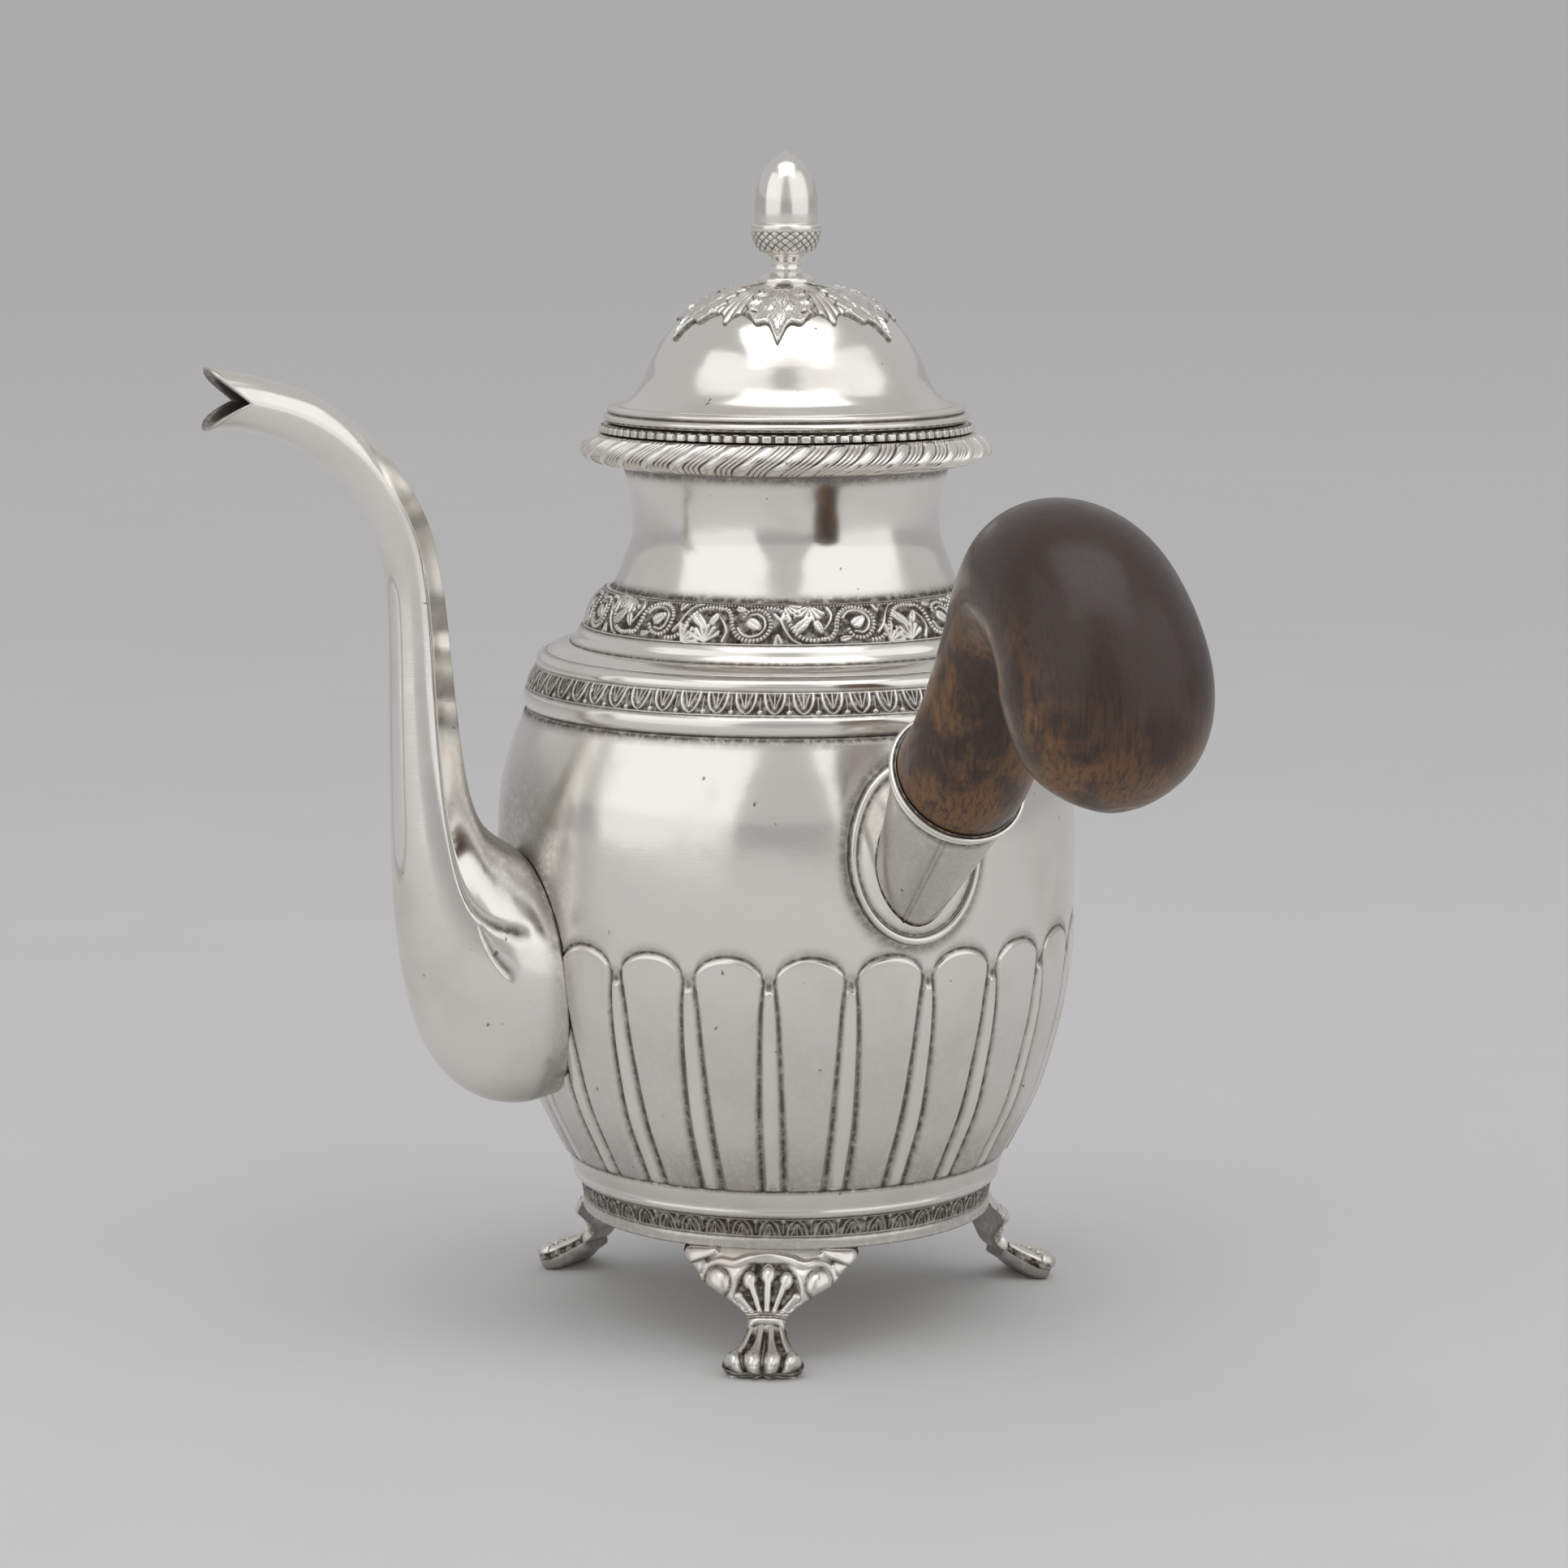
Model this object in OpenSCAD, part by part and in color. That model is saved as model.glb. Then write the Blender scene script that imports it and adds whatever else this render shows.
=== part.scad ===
// Silver coffee pot: ovoid body on three paw feet, S-shaped spout, wooden side handle, lift-off domed lid.
// Millimetres, +Z up. The origin is on the table under the pot's axis; spout along -X, handle along -Y.

/* [Silver sheet] */
// Wall of the body and neck
wall = 0.9; // [0.7:0.05:1]
// Wall of the lid's dome
lid_wall = 0.8; // [0.6:0.05:0.9]
// Wall of the spout
spout_wall = 0.8; // [0.6:0.05:1]

/* [Lid] */
// Gap between the closed lid's rim and the beading under it
lid_gap = 0.3; // [0.2:0.05:0.4]
// How far the lid's bezel reaches down into the neck
bezel_depth = 10; // [6:0.5:10]
// Outer radius of the bezel
bezel_r = 36; // [35.6:0.1:36.2]
// Steam vents round the lid's rosette
vent_count = 12; // [6:1:16]
// Radius of a steam vent
vent_r = 0.8; // [0.5:0.1:1]
// Leaf tips round the rosette
rosette_leaves = 16; // [8:1:20]

/* [Spout] */
// Depth of the notch between the two lips
lip_notch = 9.5; // [6:0.5:10]
// Radius of one strainer hole behind the spout
strainer_r = 1.4; // [1:0.1:1.6]

/* [Handle] */
// Outer radius of the socket's mouth
socket_r = 14.7; // [14.5:0.1:15]
// Rise of the socket's mouth above the horizontal, in degrees
socket_rise = 36.5; // [35:0.5:39]
// Height of the oval plate that carries the socket
plate_h = 41; // [39:0.5:43]
// Width of the oval plate
plate_w = 32.5; // [31:0.5:34]
// Radius of the pin that holds the grip in the socket
pin_r = 0.9; // [0.7:0.1:1.1]

/* [Feet] */
// Distance from the pot's axis to the toe tips
toe_reach = 70; // [69:0.5:72]
// Width of the bracket where it meets the base
bracket_w = 40.8; // [38:0.2:42]

/* [Hidden] */
$fn = 96;

silver = [0.80, 0.79, 0.77];
dull_silver = [0.66, 0.64, 0.60];
dark_wood = [0.20, 0.11, 0.06];

// Soldered pieces sit this far off the shell that carries them
seat = 0.05;
// Steps between two points of a smooth outline
steps = 3;

// Heights that pieces share
base_z = 24.5;
body_z = 38.8;
neck_z = 159.4;
rim_z = 205.9;
bead_z = 208;
lid_z = bead_z + lid_gap;
dome_z = lid_z + 3.7;
cap_z = 239.2;
acorn_z = 253.3;

// Radii of the ring under the body and of the neck's straight top
base_in_r = 44.8;
base_out_r = 45.8;
neck_top_r = 37.5;

// Silver outlines as [radius, height]
body_keys = [[51.2, body_z], [54.4, 44.7], [60, 56.5], [64.4, 72], [66.4, 84], [67.1, 98], [67.2, 112],
             [66.4, 124], [64.1, 133.2], [60.6, 142.3]];
shoulder_seat = [[58.9, 143.6], [58.3, 147.5], [55.9, 152.6], [53.9, 155], [49.3, 156.9], [46.6, 158.2],
                 [46.6, neck_z]];
scroll_seat = [[46.6, neck_z], [45.9, 160.6], [45, 163.6], [43.6, 167], [41.8, 169.2]];
neck_keys = [[40, 170.9], [37.6, 176.4], [35.8, 181.6], [35.4, 186.5], [35.9, 192], [37.2, 196.8]];
dome_keys = [[38.6, dome_z], [35.4, 214], [33, 217.4], [31, 222.4], [27.6, 228], [22.4, 233.4],
             [15.5, 237.2], [8, 238.9], [1.4, cap_z]];
cup_keys = [[3.8, 246], [6.3, 247.4], [7.6, 250], [8.1, 252.2], [7.8, acorn_z]];
acorn_keys = [[7.1, acorn_z], [7.3, 256.4], [7, 260.2], [5.9, 264], [4, 266.9], [1.6, 268.8], [0, 270]];

body_path = curve(body_keys, steps);
shell_path = concat(body_path, shoulder_seat);
neck_path = concat(scroll_seat, curve(neck_keys, steps), [[neck_top_r, 197.6], [neck_top_r, rim_z]]);
dome_path = curve(dome_keys, steps);

// Spout sections: [lower radius, lower height, upper radius, upper height, half width]
spout_keys = [[60, 56.3, 67.1, 112.4, 19.2], [68.3, 54.9, 69.6, 114.6, 19.2], [77, 56.8, 73.4, 117, 18.2],
              [84.8, 62.4, 76.8, 120.2, 16.2], [91, 72, 79, 124.6, 13.8], [94.8, 86, 80.7, 130.6, 11.6],
              [96.8, 102, 82, 138.8, 9.8], [97.5, 121, 83, 148, 8.3], [97.6, 143, 83.9, 158, 7.3],
              [97.5, 160.5, 84.8, 168, 6.8], [98, 174, 86.3, 178, 6.5], [100.2, 184.6, 89, 188.6, 6.3],
              [104.6, 193, 95.2, 199.8, 6.3], [111.4, 200.6, 103.6, 209.6, 6.3],
              [120.5, 206.5, 115, 217.6, 6.4], [130.8, 209.8, 127.6, 221.8, 6.6],
              [140, 210.2, 139.4, 224, 7.2]];
spout_sides = 24;
spout_steps = 2;
// The spout's base stops this far short of the body
spout_gap = 0.12;

// Socket: centre of its mouth and the direction it faces, then its oval foot on the plate
mouth = [86.4, 137];
out_dir = [cos(socket_rise), sin(socket_rise)];
socket_foot_z = 114.8;
socket_foot_h = 27.6;
socket_foot_w = 20.4;
socket_wall = 0.9;
socket_sides = 32;
// Outer face of the plate inside its raised rim, and that rim's height and width
plate_face = 0.9;
plate_rim = 1.9;
plate_rim_w = 1.8;
plate_z = 117.5;

// Wooden tenon in the socket
tenon_len = 10;
tenon_r = 13.4;
tenon_end_r = 8.8;
pin_len = 9;
pin_back = 5;

// Wooden grip: [distance from the axis, height, half depth in its plane, half width across]
grip_keys = [[86.7, 137.2, 14.2, 14.2], [90.6, 140.4, 14.2, 14.3], [95.4, 146.6, 14.1, 14.2],
             [100.8, 156, 13.6, 13.6], [107, 167, 13.6, 13.6], [115.2, 176.8, 15.2, 15.6],
             [126, 182.2, 17.8, 18.6], [137.6, 180, 19.3, 20.3], [146.4, 172.2, 20.3, 21.3],
             [151, 162.8, 21.2, 21.9], [153.4, 153.2, 19.6, 20], [155, 146.6, 15.6, 16.1],
             [156, 142.3, 10.3, 10.8], [156.6, 139.8, 5, 5.2], [156.8, 139.1, 1, 1]];
grip_sides = 28;
grip_steps = 2;

// Foot, from the bracket's top to the toes: [distance from the axis, height, half width, half thickness]
foot_keys = [[46.6, base_z, bracket_w / 2, 0.9], [50.2, 21, 18.6, 0.9], [52.4, 18, 13.4, 1],
             [53.2, 14.8, 8.6, 1.5], [53.3, 11.6, 4.6, 2], [55.2, 8.4, 4.3, 2.2], [59.4, 5.6, 5.6, 2.4],
             [64, 2.8, 8, 3], [67, 2.4, 9.2, 3.1], [toe_reach - 1.6, 1.9, 8.6, 2.6], [toe_reach, 1.2, 7.4, 1.2]];
foot_sides = 20;
foot_steps = 2;
// Below 1, the foot's sections are squarer than an ellipse
foot_square = 0.75;
// Radius of the finial's stud, and of the hole that it fills in each piece
stud_r = 1.2;
stud_hole_r = 1.25;
// Directions of the feet, as turns about +Z from +X
foot_turns = [240, 120, 0];

// Catmull-Rom curve through the points p, with n steps from each to the next
function near(p, i) = p[max(0, min(len(p) - 1, i))];
function bend(a, b, c, d, t) = 0.5 * (2 * b + (c - a) * t + (2 * a - 5 * b + 4 * c - d) * t * t
                                      + (3 * b - a - 3 * c + d) * t * t * t);
function curve(p, n) = concat([for (i = [0 : len(p) - 2], k = [0 : n - 1])
                                   bend(near(p, i - 1), near(p, i), near(p, i + 1), near(p, i + 2), k / n)],
                              [p[len(p) - 1]]);
function unit(v) = v / norm(v);
function backwards(p) = [for (i = [len(p) - 1 : -1 : 0]) p[i]];
function along(p, i) = unit(near(p, i + 1) - near(p, i - 1));
// The path moved by t towards the axis side; its two end points move level, so that cut edges stay flat
function inset(p, t) = [for (i = [0 : len(p) - 1])
                            let (d = along(p, i), flat = i == 0 || i == len(p) - 1)
                            p[i] + t * (flat ? [-1, 0] : [-d[1], d[0]])];
function skin(p, from, to) = concat(inset(p, from), backwards(inset(p, to)));
function body_r(z) = lookup(z, [for (p = body_path) [p[1], p[0]]]);

module ring(outline) {
    rotate_extrude() polygon(outline);
}

// A closed tube wall between two stacks of rings with equal counts
module tube_wall(outer, inner) {
    rows = len(outer);
    n = len(outer[0]);
    points = [for (stack = [outer, inner], row = stack, p = row) p];
    base = rows * n;
    polyhedron(points, concat(
        [for (i = [0 : rows - 2], k = [0 : n - 1]) let (m = (k + 1) % n)
            each [[i * n + k, (i + 1) * n + m, (i + 1) * n + k], [i * n + k, i * n + m, (i + 1) * n + m]]],
        [for (i = [0 : rows - 2], k = [0 : n - 1]) let (m = (k + 1) % n)
            each [[base + i * n + k, base + (i + 1) * n + k, base + (i + 1) * n + m],
                  [base + i * n + k, base + (i + 1) * n + m, base + i * n + m]]],
        [for (k = [0 : n - 1]) let (m = (k + 1) % n)
            each [[k, base + k, base + m], [k, base + m, m]]],
        [for (k = [0 : n - 1]) let (m = (k + 1) % n, e = (rows - 1) * n)
            each [[e + k, base + e + m, base + e + k], [e + k, e + m, base + e + m]]]));
}

// A closed solid through a stack of rings, with flat ends
module stack_solid(rows_in) {
    rows = len(rows_in);
    n = len(rows_in[0]);
    polyhedron([for (row = rows_in, p = row) p], concat(
        [for (i = [0 : rows - 2], k = [0 : n - 1]) let (m = (k + 1) % n)
            each [[i * n + k, (i + 1) * n + m, (i + 1) * n + k], [i * n + k, i * n + m, (i + 1) * n + m]]],
        [[for (k = [0 : n - 1]) n - 1 - k]],
        [[for (k = [0 : n - 1]) (rows - 1) * n + k]]));
}

module body_shell() {
    color(silver)
    difference() {
        ring(skin(shell_path, 0, wall));
        strainer();
    }
}

// Staggered rows of strainer holes through the wall behind the spout
module strainer() {
    pitch = 6;
    middle_z = 86;
    drill = 20;
    for (row = [-3 : 3], col = [-2 : 2])
        if (abs(row) < 3 || abs(col) < 2)
            translate([-body_keys[6][0] - drill / 4, (col + (row % 2 == 0 ? 0 : 0.5)) * pitch - pitch / 4,
                       middle_z + row * pitch])
                rotate([0, 90, 0]) cylinder(r = strainer_r, h = drill, $fn = 24);
}

module bottom_disc() {
    color(silver)
    translate([0, 0, body_z]) cylinder(r = body_keys[0][0] - wall - 0.2, h = 1);
}

module base_ring() {
    color(silver)
    ring([[base_in_r, base_z], [base_out_r, base_z], [base_out_r, body_z], [base_in_r, body_z]]);
}

module base_lower_moulding() {
    color(silver)
    ring([[base_out_r + seat, base_z], [47, base_z], [47.6, 25.3], [47.7, 26.4], [47.4, 27.5],
          [base_out_r + seat, 27.5]]);
}

module base_leaf_band() {
    color(dull_silver)
    ring([[base_out_r + seat, 27.5], [47.4, 27.5], [47.8, 29], [48.3, 31.9], [base_out_r + seat, 31.9]]);
}

module base_upper_moulding() {
    color(silver)
    ring([[base_out_r + seat, 31.9], [48.7, 31.9], [49.6, 33.2], [50.1, 35.2], [50.6, 37.4], [51.1, body_z],
          [base_out_r + seat, body_z]]);
}

// One paw foot pointing along +X
module foot() {
    rows = curve(foot_keys, foot_steps);
    spine = plane_path(rows);
    color(silver)
    stack_solid([for (i = [0 : len(rows) - 1]) foot_ring(rows[i], i == 0 ? [0, -1] : along(spine, i))]);
}

function squared(v) = sign(v) * pow(abs(v), foot_square);
// One section of the foot, bent round the pot's axis; nothing reaches below the table
function foot_ring(s, dir) =
    [for (k = [0 : foot_sides - 1]) let (a = 360 * k / foot_sides, side = [-dir[1], dir[0]],
                                         q = [s[0], s[1]] + side * s[3] * squared(cos(a)),
                                         turn = s[2] * squared(sin(a)) / s[0] * 180 / PI)
        [q[0] * cos(turn), q[0] * sin(turn), max(q[1], 0)]];

module foot_front() {
    rotate([0, 0, foot_turns[0]]) foot();
}

module foot_back() {
    rotate([0, 0, foot_turns[1]]) foot();
}

module foot_side() {
    rotate([0, 0, foot_turns[2]]) foot();
}

module shoulder_lower_moulding() {
    color(silver)
    ring([[59.05, 143.65], [60.2, 143], [60.8, 144.1], [60.9, 145.4], [60.7, 146.6], [60, 147.5],
          [58.4, 147.5]]);
}

module shoulder_leaf_band() {
    color(dull_silver)
    ring([[58.4, 147.5], [59.9, 147.5], [59.6, 149], [58.9, 150.6], [57.6, 152.6], [56, 152.6]]);
}

module shoulder_upper_moulding() {
    color(silver)
    ring([[56, 152.6], [57.6, 152.6], [57.9, 153.5], [57.6, 154.6], [56.6, 155.4], [55.4, 155.8],
          [52.9, 155.8], [54.05, 155.15]]);
}

module shoulder_cap() {
    color(silver)
    ring([[52.3, 155.8], [55.4, 155.8], [54.1, 156.7], [52.3, 157.5], [50.2, 157.8], [49.4, 157.8],
          [49.4, 157]]);
}

module scroll_band_moulding() {
    color(silver)
    ring([[49.4, 157.8], [50.2, 157.8], [48.9, 159.5], [48.3, 160.8], [47.4, 161.6], [45.7, 161.6],
          [46.05, 160.7], [46.7, neck_z], [46.7, 158.35], [49.2, 157.3]]);
}

module scroll_band() {
    color(dull_silver)
    ring([[45.75, 161.6], [46.9, 161.6], [46.4, 162.4], [46.2, 163.6], [45.6, 165.5], [44.6, 167.4],
          [43, 169.2], [41.5, 170.4], [40.9, 170.4], [41.95, 169.35], [43.75, 167.1], [45.12, 163.65]]);
}

module neck() {
    color(silver)
    ring(skin(neck_path, 0, wall));
}

module rim_gadroon() {
    color(silver)
    ring([[neck_top_r + seat, 197.8], [41.7, 198.7], [44.2, 199.3], [46, 200], [47.2, 200.8], [47.7, 201.6],
          [47.4, 202.6], [46.4, 203.7], [45, 204.9], [43.4, rim_z], [neck_top_r + seat, rim_z]]);
}

module rim_beading() {
    color(silver)
    ring([[37, rim_z], [42.6, rim_z], [43.1, 206.4], [43.1, 207.4], [42.6, bead_z], [37, bead_z]]);
}

// Ring of spout points for one section; grow moves it outwards
function spout_ring(s, grow) =
    let (low = [s[0], s[1]], high = [s[2], s[3]], mid = (low + high) / 2, half = norm(high - low) / 2 + grow,
         up = unit(high - low))
    [for (k = [0 : spout_sides - 1]) let (a = 360 * k / spout_sides, q = mid + up * half * cos(a))
        [-q[0], (s[4] + grow) * sin(a), q[1]]];
// The same ring laid on the body's surface
function on_body(ring_points) = [for (p = ring_points)
    [-sqrt(pow(body_r(p[2]) + spout_gap, 2) - p[1] * p[1]), p[1], p[2]]];
// The mouth's ring with its sides drawn back, which leaves an upper and a lower lip
function notched(ring_points) = [for (k = [0 : spout_sides - 1])
    ring_points[k] + [lip_notch * pow(1 - abs(cos(360 * k / spout_sides)), 1.2), 0, 0]];
function spout_stack(grow) =
    let (rows = curve(spout_keys, spout_steps), last = len(rows) - 1)
    [for (i = [0 : last]) let (r = spout_ring(rows[i], grow)) i == 0 ? on_body(r) : i == last ? notched(r) : r];

module spout() {
    color(silver)
    tube_wall(spout_stack(0), spout_stack(-spout_wall));
}

// Moves a child that stands on +Z at the origin to the socket's mouth, pointing out of it
module at_mouth() {
    translate([0, -mouth[0], mouth[1]]) rotate([90 - socket_rise, 0, 0]) children();
}

function oval(w, h) = [for (k = [0 : 47]) [w / 2 * cos(360 * k / 48), h / 2 * sin(360 * k / 48)]];

module oval_on_body(w, h, thick) {
    low_z = 90;
    band = [for (p = body_path) if (p[1] > low_z) p];
    intersection() {
        ring(skin(band, -thick, -seat));
        translate([0, 0, plate_z]) rotate([90, 0, 0]) linear_extrude(height = 90) polygon(oval(w, h));
    }
}

module handle_plate() {
    color(silver) {
        oval_on_body(plate_w, plate_h, plate_face);
        difference() {
            oval_on_body(plate_w, plate_h, plate_rim);
            translate([0, 0, plate_z]) rotate([90, 0, 0])
                linear_extrude(height = 90) polygon(oval(plate_w - 2 * plate_rim_w, plate_h - 2 * plate_rim_w));
        }
    }
}

// A ring of the socket, from 0 at its oval foot on the plate to 1 at its mouth; grow moves it outwards
function socket_ring(t, grow) =
    let (low = socket_foot_z - socket_foot_h / 2, high = socket_foot_z + socket_foot_h / 2,
         up_mouth = mouth + [-out_dir[1], out_dir[0]] * socket_r,
         low_mouth = mouth - [-out_dir[1], out_dir[0]] * socket_r,
         foot_face = plate_face + 2 * seat,
         up_foot = [body_r(high) + foot_face, high],
         low_foot = [body_r(low) + foot_face, low],
         top = up_foot + t * (up_mouth - up_foot),
         bottom = low_foot + t * (low_mouth - low_foot),
         up = unit(top - bottom),
         half = norm(top - bottom) / 2 + grow,
         wide = socket_foot_w / 2 + t * (socket_r - socket_foot_w / 2) + grow)
    [for (k = [0 : socket_sides - 1]) let (a = 360 * k / socket_sides, q = (top + bottom) / 2 + up * half * cos(a),
                                           x = wide * sin(a))
        [-x, t == 0 ? -sqrt(pow(body_r(q[1]) + foot_face, 2) - x * x) : -q[0], q[1]]];
socket_rows = 5;

module handle_socket() {
    color(silver)
    difference() {
        tube_wall([for (i = [0 : socket_rows]) socket_ring(i / socket_rows, 0)],
                  [for (i = [0 : socket_rows]) socket_ring(i / socket_rows, -socket_wall)]);
        pin_hole();
    }
}

module socket_rim_wire() {
    wire_r = 0.6;
    color(silver)
    at_mouth() translate([0, 0, -wire_r])
        rotate_extrude() translate([socket_r + wire_r + seat, 0]) circle(r = wire_r, $fn = 24);
}

// Places a child on the pin's axis, which enters the socket from +X
module at_pin() {
    at_mouth() translate([socket_r, 0, -pin_back]) rotate([0, -90, 0]) children();
}

module pin_hole() {
    at_pin() translate([0, 0, -2]) cylinder(r = pin_r + 0.02, h = pin_len + 2.2, $fn = 32);
}

module handle_pin() {
    color(silver)
    at_pin() cylinder(r = pin_r, h = pin_len, $fn = 32);
}

function grip_ring(s, dir) =
    [for (k = [0 : grip_sides - 1]) let (a = 360 * k / grip_sides, side = [-dir[1], dir[0]],
                                         q = [s[0], s[1]] + side * s[2] * cos(a))
        [-s[3] * sin(a), -q[0], q[1]]];
function plane_path(rows) = [for (s = rows) [s[0], s[1]]];

module handle_grip() {
    rows = curve(grip_keys, grip_steps);
    spine = plane_path(rows);
    tenon_end = mouth - tenon_len * out_dir;
    tenon = [[tenon_end[0], tenon_end[1], tenon_end_r, tenon_end_r], [mouth[0], mouth[1], tenon_r, tenon_r]];
    color(dark_wood)
    difference() {
        stack_solid(concat([for (s = tenon) grip_ring(s, out_dir)],
                           [for (i = [0 : len(rows) - 1]) grip_ring(rows[i], i == 0 ? out_dir : along(spine, i))]));
        pin_hole();
    }
}

module lid_dome() {
    color(silver)
    difference() {
        ring(skin(dome_path, 0, lid_wall));
        vents();
        translate([0, 0, dome_z - lid_wall]) cylinder(r = bezel_r + 5, h = lid_wall);
        translate([0, 0, cap_z - 2 * lid_wall]) cylinder(r = stud_hole_r, h = 4 * lid_wall);
    }
}

module vents() {
    vent_ring_r = 22;
    vent_low = 225;
    for (k = [0 : vent_count - 1])
        rotate([0, 0, 360 * (k + 0.5) / vent_count]) translate([vent_ring_r, 0, vent_low])
            cylinder(r = vent_r, h = cap_z - vent_low, $fn = 24);
}

// Leafy cap over the crown of the dome, with pointed tips
module lid_rosette() {
    tip_r = 28.5;
    dip_r = 24.5;
    leaf_h = 0.9;
    rosette_low = 226;
    crown_hole_r = 6.9;
    crown = [for (p = dome_path) if (p[1] > rosette_low) p];
    color(dull_silver)
    difference() {
        intersection() {
            ring(skin(crown, -leaf_h, -seat));
            translate([0, 0, rosette_low - 5]) linear_extrude(height = cap_z - rosette_low + 10)
                polygon([for (k = [0 : 2 * rosette_leaves - 1])
                             let (r = k % 2 == 0 ? tip_r : dip_r, a = 180 * k / rosette_leaves)
                             [r * cos(a), r * sin(a)]]);
        }
        vents();
        translate([0, 0, rosette_low]) cylinder(r = crown_hole_r, h = cap_z - rosette_low + 2 * leaf_h);
    }
}

module lid_rim_moulding() {
    in_r = bezel_r + seat;
    color(silver)
    ring([[in_r, lid_z], [41.6, lid_z], [42.1, lid_z + 0.7], [42.1, lid_z + 1.5], [41.6, lid_z + 2.1],
          [40.6, lid_z + 2.3], [41.2, lid_z + 2.7], [41.2, lid_z + 3.3], [40.4, dome_z], [in_r, dome_z]]);
}

module lid_bezel() {
    color(silver)
    ring([[bezel_r - lid_wall, lid_z - bezel_depth], [bezel_r, lid_z - bezel_depth], [bezel_r, dome_z],
          [bezel_r - lid_wall, dome_z]]);
}

module finial_foot() {
    color(silver)
    ring([[stud_hole_r, cap_z + 0.1], [5.2, cap_z + 0.1], [6.4, 239.8], [6.7, 240.8], [6.3, 241.7], [4.6, 242.2],
          [stud_hole_r, 242.2]]);
}

module finial_stem() {
    color(silver)
    ring(concat([[stud_hole_r, 242.2]], curve([[4.3, 242.2], [3.5, 243.4], [3.5, 244.6], [4.2, 246]], steps),
                [[stud_hole_r, 246]]));
}

module acorn_cup() {
    color(dull_silver)
    ring(concat([[stud_hole_r, 246]], curve(cup_keys, steps), [[stud_hole_r, acorn_z]]));
}

module acorn() {
    color(silver)
    difference() {
        ring(concat([[0, acorn_z]], curve(acorn_keys, steps)));
        translate([0, 0, acorn_z - 1]) cylinder(r = stud_hole_r, h = 6);
    }
}

module finial_stud() {
    stud_low = 235.6;
    color(silver)
    translate([0, 0, stud_low]) cylinder(r = stud_r, h = acorn_z + 4.5 - stud_low);
}

module finial_nut() {
    nut_top = cap_z - 0.9;
    color(dull_silver)
    translate([0, 0, nut_top - 1.8])
        difference() {
            cylinder(r = 3.2, h = 1.8, $fn = 6);
            translate([0, 0, -1]) cylinder(r = stud_hole_r, h = 4);
        }
}

body_shell();
bottom_disc();
base_ring();
base_lower_moulding();
base_leaf_band();
base_upper_moulding();
foot_front();
foot_back();
foot_side();
shoulder_lower_moulding();
shoulder_leaf_band();
shoulder_upper_moulding();
shoulder_cap();
scroll_band_moulding();
scroll_band();
neck();
rim_gadroon();
rim_beading();
spout();
handle_plate();
handle_socket();
socket_rim_wire();
handle_grip();
handle_pin();
lid_dome();
lid_rosette();
lid_rim_moulding();
lid_bezel();
finial_foot();
finial_stem();
acorn_cup();
acorn();
finial_stud();
finial_nut();
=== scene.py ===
"""Looks of the silver coffee pot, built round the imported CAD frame.

Lengths are in millimetres until a mesh is made.
"""

import math

import bmesh
import bpy
import numpy as np
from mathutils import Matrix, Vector


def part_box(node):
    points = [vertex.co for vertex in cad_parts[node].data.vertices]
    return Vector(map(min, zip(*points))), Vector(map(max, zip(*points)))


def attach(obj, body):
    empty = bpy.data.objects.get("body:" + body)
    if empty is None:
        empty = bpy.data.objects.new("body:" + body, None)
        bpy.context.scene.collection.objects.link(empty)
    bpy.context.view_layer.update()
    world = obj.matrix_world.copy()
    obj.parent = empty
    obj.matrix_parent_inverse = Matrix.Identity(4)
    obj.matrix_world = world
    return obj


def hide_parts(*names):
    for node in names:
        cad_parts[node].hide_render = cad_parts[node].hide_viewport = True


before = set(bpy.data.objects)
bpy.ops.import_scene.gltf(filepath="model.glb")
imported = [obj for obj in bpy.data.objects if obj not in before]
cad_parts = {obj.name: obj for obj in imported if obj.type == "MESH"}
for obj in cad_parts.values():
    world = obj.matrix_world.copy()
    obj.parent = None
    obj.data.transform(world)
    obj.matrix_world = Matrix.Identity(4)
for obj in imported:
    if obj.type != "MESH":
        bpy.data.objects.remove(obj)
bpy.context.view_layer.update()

MM = 0.001
TURN = 2 * math.pi


# ---- levels read from the frame


def low(node):
    """Height of a CAD node's lowest point."""
    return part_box(node)[0][2] / MM


Z_BODY = low("body_shell")
Z_DOME = low("lid_dome")
VIEW_TURN = math.radians(244.5)  # direction of the camera, seen from the pot's axis


# ---- curves and shaping functions


def curve(keys, steps=12):
    """A smooth line through the keys: Catmull-Rom, with steps points to each span."""
    k = np.array(keys, float)
    p = np.vstack([2 * k[0] - k[1], k, 2 * k[-1] - k[-2]])
    t = np.linspace(0, 1, steps, endpoint=False)[:, None]
    spans = []
    for a, b, c, d in zip(p[:-3], p[1:-2], p[2:-1], p[3:]):
        square, cube = 2 * a - 5 * b + 4 * c - d, 3 * b - a - 3 * c + d
        spans.append(0.5 * (2 * b + (c - a) * t + square * t**2 + cube * t**3))
    return np.vstack([*spans, k[-1:]])


def path(*parts):
    """Several outlines one after the other."""
    return np.vstack([np.array(p, float) for p in parts])


def ramp(a, b, x):
    """0 at a and before it, 1 at b and past it, smooth between."""
    t = np.clip((x - a) / (b - a), 0, 1)
    return t * t * (3 - 2 * t)


def ridge(x, width):
    """A round ridge: 1 at x = 0, 0 past width."""
    return np.sqrt(np.clip(1 - (x / width) ** 2, 0, 1))


def line(x, width):
    """A soft line: 1 at x = 0, gone by twice the width."""
    return np.exp(-((x / width) ** 2))


def dome(depth, width):
    """Height of a rounded edge, 0 at the outline and 1 from width inwards."""
    t = np.clip(depth / width, 0, 1)
    return np.sqrt(1 - (1 - t) ** 2)


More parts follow.
